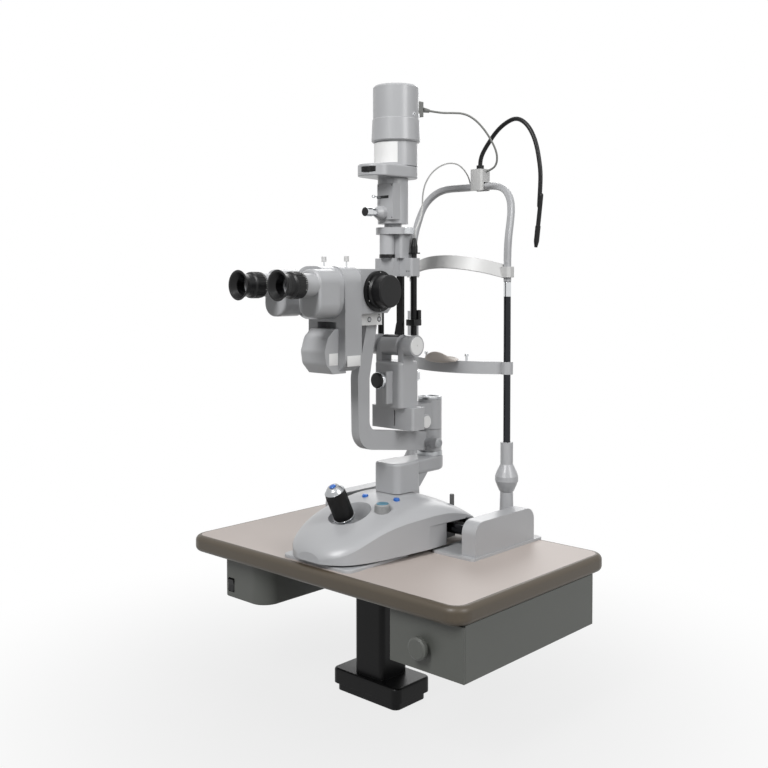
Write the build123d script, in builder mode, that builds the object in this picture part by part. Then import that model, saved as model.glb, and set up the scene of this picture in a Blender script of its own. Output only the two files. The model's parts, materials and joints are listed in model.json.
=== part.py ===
"""A slit lamp on the corner of its instrument table, in millimetres.

Z is up, X runs along the table's long edge, and +Y points to the patient. The origin is the
centre of the face under the column, and the instrument's middle plane is x = 0.
"""
import os
from math import pi, radians, tan

from build123d import *

os.makedirs("parts", exist_ok=True)

# Column and table
foot_length, foot_depth, foot_height = 132, 72, 12
foot_hole, foot_pitch_x, foot_pitch_y = 4.25, 100, 44
collar_length, collar_depth, collar_height = 144, 82, 24
post_length, post_depth = 62, 60
head_length, head_depth, head_thick = 200, 160, 6
table_length, table_depth, table_thick, table_corner = 583, 375, 27, 28
table_z, table_y = 240, 25.5
edge_width, edge_round = 10, 9
table_under = table_z - table_thick
seat_gap = 0.3
run_gap = 0.05

# Power box and drawer, which hang under the table
box_left, box_right, box_front, box_back, box_bottom = -231, -131, -134, 120, 142
box_corner, box_edge = 30, 8
rocker_x, rocker_z, rocker_width, rocker_height, rocker_deep = -214, 163, 14, 22, 8
rocker_pin, rocker_gap = 1.5, 0.7
case_left, case_right, case_front, case_back, case_bottom = 153, 286, -141, 175, 135
case_wall, drawer_side_gap, drawer_length, drawer_height, front_thick = 1.5, 0.5, 255, 66, 2.5
knob_x, knob_z, knob_radius, knob_reach = 214, 169, 16, 15

# Plates, rails and headrest
plate_half, plate_front, plate_back, plate_thick, plate_corner = 73, -147, -9, 5, 12
pad_inner, pad_outer, pad_front, pad_back, pad_thick = 84, 168, 26, 212, 4
rail_inner, rail_outer, rail_height = 142, 158, 10.7
cover_inner, cover_outer, cover_front, cover_back = 138.5, 165.5, 35, 190
cover_height, cover_corner, cover_wall = 57, 20, 3
pillar_x, pillar_y = 105, 197
socket_foot, socket_top, socket_height, ball_height, ball_radius = 12.7, 10.8, 71, 40, 19.4
neck_radius, neck_top, pillar_radius, pillar_top = 10.6, 396, 6, 665
arch_width, arch_thick = 12, 10
band_z, band_rise, band_height, band_thick, band_bow = 681, 20, 23, 3.5, 47
chin_z, chin_thick, chin_width, chin_bow_y = 519, 4, 20, 155
sleeve_radius, sleeve_low, sleeve_high = 10, 523, 612
nut_radius, nut_height = 12, 25
cup_half, cup_rise, cup_y = 30, 18, 148

# Running gear
axle_y, axle_radius, wheel_radius, wheel_inner, wheel_outer = 69, 8, 17, 143, 157
guide_y, guide_z, guide_radius = 97, 280, 4
link_inner, link_outer, link_front, link_back, link_low, link_high = 139, 142, 57, 105, 262, 288
rail_z = table_z + pad_thick + rail_height
axle_z = rail_z + wheel_radius + seat_gap

# Base
base_z, base_wall = 248, 4
base_sections = [
    (-158, 22, 6, 14), (-150, 42, 10, 24), (-130, 63, 18, 36), (-100, 75, 32, 48),
    (-60, 83, 44, 62), (-10, 89, 49, 74), (40, 94, 51, 76), (90, 98, 44, 62),
    (125, 99, 28, 40), (140, 92, 12, 18),
]
arch_cut_x, arch_cut_front, arch_cut_top = 91.5, -5, 284
block_half, block_front, block_back, block_low, block_top = 72, 14, 104, 250, 286
boss_radius, boss_top = 22, 313
tongue_half, tongue_front, tongue_low, tongue_top = 24, -108, 252, 281
glide_radius, glide_y = 14, -92
stick_y, stick_z, ball_r, socket_gap = -69, 275, 13.5, 0.4
dish_radius, dish_floor, dish_wall, dish_hole = 33, 286, 3, 16
stick_lean = 26.2
stem_radius, grip_start, grip_end, grip_radius = 8, 27, 78, 15.8
cross_radius, cross_reach = 2.5, 20
panel_buttons = {"left": (-19.5, -16), "right": (37, -3)}
button_radius, button_low, button_high = 5, 305, 324
dial_x, dial_y, dial_radius, dial_low, dial_high = 43, -42, 12, 306, 322
clamp_x, clamp_y, clamp_radius, clamp_shank, clamp_low, clamp_high = 60, 107, 3.75, 2.5, 296, 316

# Lift and pivot
lift_y, lift_radius = 39, 16
block_width, block_depth, pedestal_low, pedestal_top, pedestal_corner = 54, 60, 325, 373, 12
arm_low, pivot_y, pivot_end, pivot_radius = 348, 121, 22, 12
pivot_flange, flange_thick, pivot_high, cap_radius, cap_thick = 21, 7.3, 468, 20, 4
hub_radius, hub_gap = 20, 0.3
scope_hub_high = 417
lamp_hub_high = pivot_high - hub_gap

# Microscope
scope_thick = 16
eye_z, eye_x, prism_z, prism_x = 661, 43, 641, 32
housing_half, housing_front, housing_back, housing_low, housing_top = 38, -84, -5, 617, 685
slide_half, slide_front, slide_back, slide_low = 20, -65, -17, 598
drum_y, drum_z, drum_flange, drum_radius, drum_reach, drum_shaft = -47, 651, 31.5, 25, 22, 6
flange_reach = 6
head_half, head_front, head_low, head_top = 40, -150, 610, 689
lever_x, lever_y = 24.5, -101
prism_front, prism_radius, prism_low_z = -190, 23, 637
spigot_radius, spigot_length = 9, 10
tube_radius, tube_end, ring_radius, ring_end = 17, -213, 19, -231
cup_neck, cup_radius, cup_end, eye_bore = 16.5, 22, -253, 13

# Lamp arm and tower
foot_half, foot_front, foot_back, foot_low, foot_top = 46, 26, 56, 427, 463
rib_half = 15
lower_half, lower_front, lower_back, lower_top = 30, 15, 60, 545
tilt_y, tilt_z, tilt_radius, tilt_left, tilt_right, tilt_pin = 33, 563, 17, -45, 48, 5
strut_x, strut_y, strut_radius, strut_top = 26, 39, 5, 676
bridge_half, bridge_front, bridge_back, bridge_low, bridge_top = 36, 28, 50, 674, 703
barrel_y, barrel_radius, plate_z, plate_top = 15, 12, 741, 752
slit_y, slit_radius, slit_low, slit_top = 29, 24.5, 758, 831
filter_radius, filter_y, nose_radius, nose_y, filter_top = 35, 36, 30, -9, 850
neck_lamp_radius, neck_lamp_top = 35, 889
cap_low_radius, cap_top_radius, cap_lamp_top, cap_gap = 39.5, 37, 979, 3


def turned(origin, direction, outline):
    """A turned solid: (radius, height) points revolved about the axis through origin."""
    lathe = Plane(origin=origin, z_dir=direction)
    with BuildPart() as work:
        with BuildSketch(Plane(origin=origin, x_dir=lathe.x_dir, z_dir=-lathe.y_dir)):
            with BuildLine():
                Polyline(*outline, close=True)
            make_face()
        revolve(axis=Axis(origin, direction))
    return work.part


def rod(start, end, radius):
    """A round bar between two points."""
    run = Vector(*end) - Vector(*start)
    with BuildPart() as work:
        with BuildSketch(Plane(origin=start, z_dir=run)):
            Circle(radius)
        extrude(amount=run.length)
    return work.part


def block(x_span, y_span, z_span, corner=0):
    """A block between limits, with its upright edges rounded by corner."""
    with BuildPart() as work:
        with BuildSketch(Plane.XY.offset(z_span[0])):
            with Locations(((x_span[0] + x_span[1]) / 2, (y_span[0] + y_span[1]) / 2)):
                if corner:
                    RectangleRounded(x_span[1] - x_span[0], y_span[1] - y_span[0], corner)
                else:
                    Rectangle(x_span[1] - x_span[0], y_span[1] - y_span[0])
        extrude(amount=z_span[1] - z_span[0])
    return work.part


def side_plate(x_low, x_high, outline, corners=None):
    """A plate cut to a (y, z) outline, from x_low to x_high, with some corners rounded."""
    with BuildPart() as work:
        with BuildSketch(Plane.YZ.offset(x_low)) as face:
            with BuildLine():
                Polyline(*outline, close=True)
            make_face()
            for (y, z), radius in (corners or {}).items():
                fillet(face.vertices().sort_by_distance(Vector(y, z, 0))[0], radius)
        extrude(amount=x_high - x_low)
    return work.part


# The column: a light foot, and a black lifting tube with its collar and head plate
with BuildPart() as column_foot:
    with BuildSketch():
        RectangleRounded(foot_length, foot_depth, 10)
        with GridLocations(foot_pitch_x, foot_pitch_y, 2, 2):
            Circle(foot_hole, mode=Mode.SUBTRACT)
    extrude(amount=foot_height)
column_foot.part.label = "column_foot"
export_step(column_foot.part, "parts/column_foot.step")

with BuildPart() as column_post:
    with BuildSketch(Plane.XY.offset(foot_height)):
        RectangleRounded(collar_length, collar_depth, 12)
    extrude(amount=collar_height)
    fillet(column_post.faces().sort_by(Axis.Z)[-1].edges(), 4)
    with BuildSketch(Plane.XY.offset(foot_height)):
        RectangleRounded(post_length, post_depth, 8)
    extrude(amount=table_under - foot_height)
    with BuildSketch(Plane.XY.offset(table_under - head_thick)):
        RectangleRounded(head_length, head_depth, 10)
    extrude(amount=head_thick)
column_post.part.label = "column_post"
export_step(column_post.part, "parts/column_post.step")

# The table: a laminated board in a bullnose edge
with BuildPart() as table_top:
    with BuildSketch(Plane.XY.offset(table_under)):
        with Locations((0, table_y)):
            RectangleRounded(
                table_length - 2 * edge_width, table_depth - 2 * edge_width,
                table_corner - edge_width,
            )
    extrude(amount=table_thick)
table_top.part.label = "table_top"
export_step(table_top.part, "parts/table_top.step")

with BuildPart() as edge_band:
    with BuildSketch(Plane.XY.offset(table_under)):
        with Locations((0, table_y)):
            RectangleRounded(table_length, table_depth, table_corner)
    extrude(amount=table_thick)
    rims = edge_band.faces().filter_by(Axis.Z)
    fillet(rims[0].edges() + rims[1].edges(), edge_round)
    with BuildSketch(Plane.XY.offset(table_under)):
        with Locations((0, table_y)):
            RectangleRounded(
                table_length - 2 * edge_width, table_depth - 2 * edge_width,
                table_corner - edge_width,
            )
    extrude(amount=table_thick, mode=Mode.SUBTRACT)
edge_band.part.label = "edge_band"
export_step(edge_band.part, "parts/edge_band.step")

# The power box, with a pocket and two pin holes for the rocker switch
rocker_axis_y = box_front + 4
pocket_half = rocker_width / 2 + rocker_gap
with BuildPart() as power_box:
    with BuildSketch(Plane.XY.offset(box_bottom)) as box_plan:
        with BuildLine():
            Polyline(
                (box_left, box_front), (box_right, box_front),
                (box_right, box_back), (box_left, box_back), close=True,
            )
        make_face()
        near_corner = box_plan.vertices().sort_by_distance(Vector(box_right, box_front, 0))[0]
        fillet(near_corner, box_corner)
        for corner_x, corner_y in ((box_left, box_front), (box_left, box_back), (box_right, box_back)):
            fillet(
                box_plan.vertices().sort_by_distance(Vector(corner_x, corner_y, 0))[0], box_edge
            )
    extrude(amount=table_under - box_bottom)
    fillet(power_box.faces().sort_by(Axis.Z)[0].edges(), 3)
    with BuildSketch(Plane.XZ.offset(-box_front)):
        with Locations((rocker_x, rocker_z)):
            Rectangle(2 * pocket_half, rocker_height + 2 * rocker_gap)
    extrude(amount=-(rocker_deep + 4), mode=Mode.SUBTRACT)
    add(
        rod(
            (rocker_x - pocket_half - 2, rocker_axis_y, rocker_z),
            (rocker_x + pocket_half + 2, rocker_axis_y, rocker_z), rocker_pin + run_gap,
        ),
        mode=Mode.SUBTRACT,
    )
power_box.part.label = "power_box"
export_step(power_box.part, "parts/power_box.step")

with BuildPart() as power_switch:
    add(
        side_plate(
            rocker_x - rocker_width / 2, rocker_x + rocker_width / 2,
            [
                (box_front - 1.2, rocker_z - 9.6), (box_front - 0.4, rocker_z),
                (box_front - 2.2, rocker_z + 9.6), (rocker_axis_y, rocker_z + rocker_height / 2),
                (box_front + rocker_deep, rocker_z + 6), (box_front + rocker_deep, rocker_z - 6),
                (rocker_axis_y, rocker_z - rocker_height / 2),
            ],
        )
    )
    add(
        rod(
            (rocker_x - pocket_half - 1.8, rocker_axis_y, rocker_z),
            (rocker_x + pocket_half + 1.8, rocker_axis_y, rocker_z), rocker_pin,
        )
    )
power_switch.part.label = "power_switch"
export_step(power_switch.part, "parts/power_switch.step")

# The drawer in its sheet-metal case
with BuildPart() as drawer_case:
    add(block((case_left, case_right), (case_front, case_back), (case_bottom, table_under)))
    add(
        block(
            (case_left + case_wall, case_right - case_wall),
            (case_front, case_back - case_wall),
            (case_bottom + case_wall, table_under - case_wall),
        ),
        mode=Mode.SUBTRACT,
    )
drawer_case.part.label = "drawer_case"
export_step(drawer_case.part, "parts/drawer_case.step")

tray_left = case_left + case_wall + drawer_side_gap
tray_right = case_right - case_wall - drawer_side_gap
tray_bottom = case_bottom + case_wall + seat_gap
with BuildPart() as drawer:
    add(
        block(
            (tray_left, tray_right), (case_front - seat_gap, case_front + drawer_length),
            (tray_bottom, tray_bottom + drawer_height),
        )
    )
    add(
        block(
            (tray_left + case_wall, tray_right - case_wall),
            (case_front, case_front + drawer_length - case_wall),
            (tray_bottom + case_wall, tray_bottom + drawer_height),
        ),
        mode=Mode.SUBTRACT,
    )
    add(
        block(
            (case_left, case_right), (case_front - seat_gap - front_thick, case_front - seat_gap),
            (case_bottom, table_under - 2),
        )
    )
    add(
        turned(
            (knob_x, case_front - seat_gap - front_thick, knob_z), (0, -1, 0),
            [
                (0, 0), (knob_radius * 0.55, 0), (knob_radius * 0.5, 5), (knob_radius, 8),
                (knob_radius, knob_reach - 2), (knob_radius - 3, knob_reach), (0, knob_reach),
            ],
        )
    )
drawer.part.label = "drawer"
export_step(drawer.part, "parts/drawer.step")

# The plate that the joystick's foot glides on
with BuildPart() as slide_plate:
    add(
        block(
            (-plate_half, plate_half), (plate_front, plate_back),
            (table_z, table_z + plate_thick), plate_corner,
        )
    )
    fillet(slide_plate.faces().sort_by(Axis.Z)[-1].edges(), 1.5)
slide_plate.part.label = "slide_plate"
export_step(slide_plate.part, "parts/slide_plate.step")

# Rail feet, rail covers and headrest pillars, one of each on both sides
for side, sign in (("right", 1), ("left", -1)):
    pad_span = sorted((sign * pad_inner, sign * pad_outer))
    rail_span = sorted((sign * rail_inner, sign * rail_outer))
    cover_span = sorted((sign * cover_inner, sign * cover_outer))
    inside_span = sorted((sign * (cover_inner - 1), sign * (cover_outer - cover_wall)))

    with BuildPart() as rail_foot:
        add(block(pad_span, (pad_front, pad_back), (table_z, table_z + pad_thick), 6))
        add(
            block(
                rail_span, (cover_front + cover_wall + 1, cover_back - cover_wall - 1),
                (table_z + pad_thick, rail_z),
            )
        )
    rail_foot.part.label = f"rail_foot_{side}"
    export_step(rail_foot.part, f"parts/rail_foot_{side}.step")

    cover_low = table_z + pad_thick
    cover_top = table_z + cover_height
    with BuildPart() as rail_cover:
        add(
            side_plate(
                *cover_span,
                [
                    (cover_front, cover_low), (cover_back, cover_low),
                    (cover_back, cover_top), (cover_front, cover_top),
                ],
                {(cover_front, cover_top): cover_corner, (cover_back, cover_top): cover_corner},
            )
        )
        add(
            side_plate(
                *inside_span,
                [
                    (cover_front + cover_wall, cover_low), (cover_back - cover_wall, cover_low),
                    (cover_back - cover_wall, cover_top - cover_wall),
                    (cover_front + cover_wall, cover_top - cover_wall),
                ],
                {
                    (cover_front + cover_wall, cover_top - cover_wall): cover_corner - cover_wall,
                    (cover_back - cover_wall, cover_top - cover_wall): cover_corner - cover_wall,
                },
            ),
            mode=Mode.SUBTRACT,
        )
    rail_cover.part.label = f"rail_cover_{side}"
    export_step(rail_cover.part, f"parts/rail_cover_{side}.step")

    socket_z = table_z + pad_thick
    ball_low = socket_z + socket_height
    ball_mid = ball_low + ball_height / 2
    with BuildPart() as headrest_post:
        add(
            turned(
                (sign * pillar_x, pillar_y, 0), (0, 0, 1),
                [
                    (0, socket_z), (socket_foot, socket_z), (socket_top, ball_low - 3),
                    (socket_top + 2, ball_low), (ball_radius - 3, ball_mid - 12),
                    (ball_radius, ball_mid - 4), (ball_radius, ball_mid + 4),
                    (ball_radius - 3, ball_mid + 12), (neck_radius + 2, ball_low + ball_height),
                    (neck_radius, ball_low + ball_height + 4), (neck_radius, neck_top),
                    (pillar_radius, neck_top), (pillar_radius, pillar_top), (0, pillar_top),
                ],
            )
        )
    headrest_post.part.label = f"headrest_post_{side}"
    export_step(headrest_post.part, f"parts/headrest_post_{side}.step")

# The headrest arch: one bent bar that stands on both pillars
arch_points = [
    (pillar_x, pillar_y, pillar_top), (pillar_x, pillar_y, 698), (105, 199.5, 738),
    (103, 208, 770), (92, 220, 807),
    (68, 228, 826), (30, 231, 830), (0, 231, 830),
]
arch_route = arch_points + [(-x, y, z) for x, y, z in arch_points[-2::-1]]
with BuildPart() as headrest_arch:
    with BuildLine() as arch_line:
        Spline(*arch_route, tangents=((0, 0, 1), (0, 0, -1)))
    with BuildSketch(Plane(origin=(pillar_x, pillar_y, pillar_top), x_dir=(1, 0, 0), z_dir=(0, 0, 1))):
        RectangleRounded(arch_width, arch_thick, 3.5)
    sweep(path=arch_line.line)
headrest_arch.part.label = "headrest_arch"
export_step(headrest_arch.part, "parts/headrest_arch.step")

# The forehead band, bowed away from the examiner's side between two clamp rings
with BuildPart() as forehead_band:
    band_front = pillar_y - band_bow
    band_plane = Plane(
        origin=(0, pillar_y, band_z), x_dir=(1, 0, 0), z_dir=(0, band_rise, band_bow)
    )
    with BuildSketch(band_plane):
        with BuildLine():
            outer = ThreePointArc(
                (-pillar_x, 0), (0, -band_bow), (pillar_x, 0)
            )
            inner = ThreePointArc(
                (-pillar_x, band_thick), (0, band_thick - band_bow), (pillar_x, band_thick)
            )
            Line(outer @ 0, inner @ 0)
            Line(outer @ 1, inner @ 1)
        make_face()
    extrude(amount=band_height / 2, both=True)
    for sign in (1, -1):
        add(block((sign * pillar_x - 10, sign * pillar_x + 10), (pillar_y - 9, pillar_y + 9),
                  (band_z - 9, band_z + 9), 6))
        add(
            block(
                (sign * pillar_x - arch_width / 2 - 0.9, sign * pillar_x + arch_width / 2 + 0.9),
                (pillar_y - arch_thick / 2 - 0.9, pillar_y + arch_thick / 2 + 0.9),
                (band_z - 30, band_z + 30),
            ),
            mode=Mode.SUBTRACT,
        )
forehead_band.part.label = "forehead_band"
export_step(forehead_band.part, "parts/forehead_band.step")

# The chin rest: a bowed bar on two sleeves, its cup, and the height nut under the left sleeve
chin_low, chin_high = chin_z - 9, chin_z + 12
with BuildPart() as chin_bar:
    with BuildSketch(Plane.XY.offset(chin_low)):
        with BuildLine():
            outer = ThreePointArc((-pillar_x, pillar_y), (0, chin_bow_y), (pillar_x, pillar_y))
            inner = ThreePointArc(
                (-pillar_x, pillar_y + chin_thick), (0, chin_bow_y + chin_thick),
                (pillar_x, pillar_y + chin_thick),
            )
            Line(outer @ 0, inner @ 0)
            Line(outer @ 1, inner @ 1)
        make_face()
    extrude(amount=chin_high - chin_low)
    for sign, top in ((1, chin_high), (-1, sleeve_high)):
        add(rod((sign * pillar_x, pillar_y, chin_low), (sign * pillar_x, pillar_y, top), sleeve_radius))
        add(
            rod(
                (sign * pillar_x, pillar_y, chin_low - 1), (sign * pillar_x, pillar_y, top + 1),
                pillar_radius + run_gap,
            ),
            mode=Mode.SUBTRACT,
        )
    for sign in (1, -1):
        add(rod((sign * 45, chin_bow_y + 9, chin_high - 4), (sign * 45, chin_bow_y + 9, chin_high + 9), 2))
        add(rod((sign * 45, chin_bow_y + 9, chin_high + 8), (sign * 45, chin_bow_y + 9, chin_high + 12), 3.5))
chin_bar.part.label = "chin_bar"
export_step(chin_bar.part, "parts/chin_bar.step")

cup_floor = chin_high
with BuildPart() as chin_cup:
    with BuildSketch(Plane.XY.offset(cup_floor)) as cup_plan:
        with Locations((0, cup_y + 4)):
            SlotCenterToCenter(cup_half, 2 * cup_half - 22)
    extrude(amount=cup_rise)
    fillet(chin_cup.faces().sort_by(Axis.Z)[0].edges(), 6)
    add(
        turned(
            (0, cup_y + 4, cup_floor + cup_rise + 40), (0, 1, 0),
            [(0, -60), (cup_half + 20, -60), (cup_half + 20, 60), (0, 60)],
        ),
        mode=Mode.SUBTRACT,
    )
chin_cup.part.label = "chin_cup"
export_step(chin_cup.part, "parts/chin_cup.step")

with BuildPart() as chin_nut:
    add(
        turned(
            (-pillar_x, pillar_y, 0), (0, 0, 1),
            [
                (pillar_radius + run_gap, chin_low - nut_height),
                (nut_radius - 2, chin_low - nut_height), (nut_radius, chin_low - nut_height + 2),
                (nut_radius, chin_low - 8), (nut_radius - 3, chin_low - 6),
                (nut_radius - 3, chin_low - seat_gap), (pillar_radius + run_gap, chin_low - seat_gap),
            ],
        )
    )
chin_nut.part.label = "chin_nut"
export_step(chin_nut.part, "parts/chin_nut.step")

# The running gear: a cross axle with its wheels, and a guide bar between two end plates
with BuildPart() as cross_axle:
    add(rod((-wheel_outer, axle_y, axle_z), (wheel_outer, axle_y, axle_z), axle_radius))
    for inner, outer in ((wheel_inner, wheel_outer), (-wheel_outer, -wheel_inner)):
        add(rod((inner, axle_y, axle_z), (outer, axle_y, axle_z), wheel_radius))
cross_axle.part.label = "cross_axle"
export_step(cross_axle.part, "parts/cross_axle.step")

with BuildPart() as guide_bar:
    add(rod((-link_outer, guide_y, guide_z), (link_outer, guide_y, guide_z), guide_radius))
    for inner, outer in ((link_inner, link_outer), (-link_outer, -link_inner)):
        add(block((inner, outer), (link_front, link_back), (link_low - 2, link_high)))
    add(
        rod((-link_outer - 1, axle_y, axle_z), (link_outer + 1, axle_y, axle_z), axle_radius + run_gap),
        mode=Mode.SUBTRACT,
    )
guide_bar.part.label = "guide_bar"
export_step(guide_bar.part, "parts/guide_bar.step")


def base_outline(y, half, side, top, inset=0):
    """One cross-section of the base casting: upright sides under a low dome."""
    half, side, top = half - inset, side - inset, top - inset
    crown = side + (top - side) * 4 / 3
    with BuildSketch(Plane.XZ.offset(-y)) as section:
        with BuildLine():
            Line((-half, base_z - inset), (-half, base_z + side))
            Bezier(
                (-half, base_z + side), (-0.75 * half, base_z + crown),
                (0.75 * half, base_z + crown), (half, base_z + side),
            )
            Line((half, base_z + side), (half, base_z - inset))
            Line((half, base_z - inset), (-half, base_z - inset))
        make_face()
    return section.sketch


# The base: a domed cover over the block that runs on the bars
dish_top = 315
with BuildPart() as base_cavity:
    add(loft([base_outline(y, w, s, t, base_wall).face() for y, w, s, t in base_sections[1:-1]]))
    add(
        rod((0, stick_y - 2, dish_floor - dish_wall), (0, stick_y - 2, 360), dish_radius + dish_wall),
        mode=Mode.SUBTRACT,
    )
    add(rod((0, lift_y, boss_top), (0, lift_y, 360), boss_radius + 4), mode=Mode.SUBTRACT)

with BuildPart() as base_cover:
    add(loft([base_outline(y, w, s, t).face() for y, w, s, t in base_sections]))
    add(base_cavity.part, mode=Mode.SUBTRACT)
    add(
        turned(
            (0, stick_y - 2, 0), (0, 0, 1),
            [
                (0, dish_floor), (dish_radius - 4, dish_floor), (dish_radius - 1, dish_floor + 2),
                (dish_radius, dish_floor + 6), (dish_radius + 3, 360), (0, 360),
            ],
        ),
        mode=Mode.SUBTRACT,
    )
    add(rod((0, stick_y, 270), (0, stick_y, 300), dish_hole), mode=Mode.SUBTRACT)
    add(rod((0, lift_y, 300), (0, lift_y, 340), lift_radius + 0.6), mode=Mode.SUBTRACT)
    for sign in (1, -1):
        add(
            block(
                sorted((sign * arch_cut_x, sign * 120)), (arch_cut_front, 160),
                (base_z - 5, arch_cut_top),
            ),
            mode=Mode.SUBTRACT,
        )
    add(rod((-120, axle_y, axle_z), (120, axle_y, axle_z), axle_radius + 1), mode=Mode.SUBTRACT)
    add(rod((-120, guide_y, guide_z), (120, guide_y, guide_z), guide_radius + 1), mode=Mode.SUBTRACT)
    for hole_x, hole_y in panel_buttons.values():
        add(rod((hole_x, hole_y, 300), (hole_x, hole_y, 340), button_radius + seat_gap), mode=Mode.SUBTRACT)
    add(rod((dial_x, dial_y, dial_low - seat_gap), (dial_x, dial_y, 340), dial_radius + 0.5), mode=Mode.SUBTRACT)
    add(rod((dial_x, dial_y, 280), (dial_x, dial_y, 320), 3 + run_gap), mode=Mode.SUBTRACT)
    add(rod((clamp_x, clamp_y, 270), (clamp_x, clamp_y, 320), clamp_shank + 0.6), mode=Mode.SUBTRACT)
    add(
        rod(
            (clamp_x, clamp_y, clamp_low - seat_gap), (clamp_x, clamp_y, 320),
            clamp_radius + seat_gap,
        ),
        mode=Mode.SUBTRACT,
    )
base_cover.part.label = "base_cover"
export_step(base_cover.part, "parts/base_cover.step")

with BuildPart() as base_frame:
    add(block((-block_half, block_half), (block_front, block_back), (block_low, block_top), 5))
    add(rod((0, lift_y, block_top), (0, lift_y, boss_top), boss_radius))
    add(block((-tongue_half, tongue_half), (tongue_front, block_front + 6), (tongue_low, tongue_top), 6))
    add(rod((0, glide_y, table_z + plate_thick + seat_gap), (0, glide_y, tongue_low), glide_radius))
    add(rod((clamp_x, clamp_y, block_low + 10), (clamp_x, clamp_y, block_top - 4), 8))
    add(rod((-90, axle_y, axle_z), (90, axle_y, axle_z), axle_radius + run_gap), mode=Mode.SUBTRACT)
    add(rod((-90, guide_y, guide_z), (90, guide_y, guide_z), guide_radius + run_gap), mode=Mode.SUBTRACT)
    add(rod((0, lift_y, 240), (0, lift_y, 330), lift_radius + run_gap), mode=Mode.SUBTRACT)
    add(
        rod((clamp_x, clamp_y, block_low + 14), (clamp_x, clamp_y, 300), clamp_shank + run_gap),
        mode=Mode.SUBTRACT,
    )
    with Locations((0, stick_y, stick_z)):
        Sphere(ball_r + socket_gap, mode=Mode.SUBTRACT)
    add(rod((0, stick_y, stick_z), (0, stick_y, 290), ball_r + socket_gap), mode=Mode.SUBTRACT)
    add(
        rod((-cross_reach, stick_y, stick_z), (cross_reach, stick_y, stick_z), cross_radius + run_gap),
        mode=Mode.SUBTRACT,
    )
base_frame.part.label = "base_frame"
export_step(base_frame.part, "parts/base_frame.step")

for side, (button_x, button_y) in panel_buttons.items():
    with BuildPart() as button:
        add(
            turned(
                (button_x, button_y, 0), (0, 0, 1),
                [
                    (0, button_low), (button_radius, button_low), (button_radius, button_high - 1.5),
                    (button_radius - 1.5, button_high), (0, button_high),
                ],
            )
        )
    button.part.label = f"button_{side}"
    export_step(button.part, f"parts/button_{side}.step")

with BuildPart() as light_dial:
    add(
        turned(
            (dial_x, dial_y, 0), (0, 0, 1),
            [
                (0, dial_low - 18), (3, dial_low - 18), (3, dial_low), (dial_radius, dial_low),
                (dial_radius, dial_high - 2), (dial_radius - 2, dial_high), (0, dial_high),
            ],
        )
    )
light_dial.part.label = "light_dial"
export_step(light_dial.part, "parts/light_dial.step")

with BuildPart() as clamp_screw:
    add(
        turned(
            (clamp_x, clamp_y, 0), (0, 0, 1),
            [
                (0, block_low + 14.5), (clamp_shank, block_low + 14.5), (clamp_shank, clamp_low),
                (clamp_radius, clamp_low), (clamp_radius, clamp_high - 1),
                (clamp_radius - 1, clamp_high), (0, clamp_high),
            ],
        )
    )
clamp_screw.part.label = "clamp_screw"
export_step(clamp_screw.part, "parts/clamp_screw.step")

# The joystick: a ball on a cross pin, a turned stem, and a turning grip with its button
lean = Vector(0, 0, 1).rotate(Axis.X, stick_lean)
stick_foot = Vector(0, stick_y, stick_z)


def on_stick(height):
    """The point of the joystick's own line at a height above the ball's middle."""
    return tuple(stick_foot + lean * height)


with BuildPart() as joystick_cross:
    add(rod((-cross_reach, stick_y, stick_z), (cross_reach, stick_y, stick_z), cross_radius))
    add(rod((0, stick_y - 9, stick_z), (0, stick_y + 9, stick_z), cross_radius))
joystick_cross.part.label = "joystick_cross"
export_step(joystick_cross.part, "parts/joystick_cross.step")

side_swing = 13
slot_rise = cross_radius + ball_r * 1.2 * 0.23
spindle_radius, spindle_end = 5, grip_end - 5
with BuildPart() as joystick_stem:
    with Locations((0, stick_y, stick_z)):
        Sphere(ball_r)
    add(
        turned(
            tuple(stick_foot), tuple(lean),
            [
                (0, 0), (stem_radius, 0), (stem_radius, grip_start - seat_gap),
                (spindle_radius, grip_start - seat_gap), (spindle_radius, spindle_end),
                (0, spindle_end),
            ],
        )
    )
    add(
        rod((0, stick_y - 9.3, stick_z), (0, stick_y + 9.3, stick_z), cross_radius + run_gap),
        mode=Mode.SUBTRACT,
    )
    with BuildSketch(Plane.XZ.offset(-stick_y)):
        with Locations((0, stick_z)):
            Rectangle(0.5, 2 * cross_radius + 0.4)
            for sign in (1, -1):
                with BuildLine():
                    Polyline(
                        (0, stick_z + cross_radius + 0.2), (sign * 16, stick_z + slot_rise + 1),
                        (sign * 16, stick_z - slot_rise - 1), (0, stick_z - cross_radius - 0.2),
                        close=True,
                    )
                make_face()
    extrude(amount=cross_radius + 0.2, both=True, mode=Mode.SUBTRACT)
joystick_stem.part.label = "joystick_stem"
export_step(joystick_stem.part, "parts/joystick_stem.step")

button_seat = grip_end + 3
with BuildPart() as joystick_grip:
    add(
        turned(
            tuple(stick_foot), tuple(lean),
            [
                (spindle_radius + run_gap, grip_start), (grip_radius, grip_start),
                (grip_radius, grip_end), (grip_radius - 1, grip_end), (grip_radius - 4, grip_end + 5),
                (9, grip_end + 8), (5.5, grip_end + 8.5), (5.5, button_seat),
                (0, button_seat), (0, spindle_end + seat_gap),
                (spindle_radius + run_gap, spindle_end + seat_gap),
            ],
        )
    )
joystick_grip.part.label = "joystick_grip"
export_step(joystick_grip.part, "parts/joystick_grip.step")

with BuildPart() as joystick_button:
    add(
        turned(
            tuple(stick_foot), tuple(lean),
            [
                (0, button_seat + 2), (5.1, button_seat + 2), (5.1, grip_end + 9.5),
                (3.6, grip_end + 10.5), (0, grip_end + 10.8),
            ],
        )
    )
joystick_button.part.label = "joystick_button"
export_step(joystick_button.part, "parts/joystick_button.step")

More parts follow.
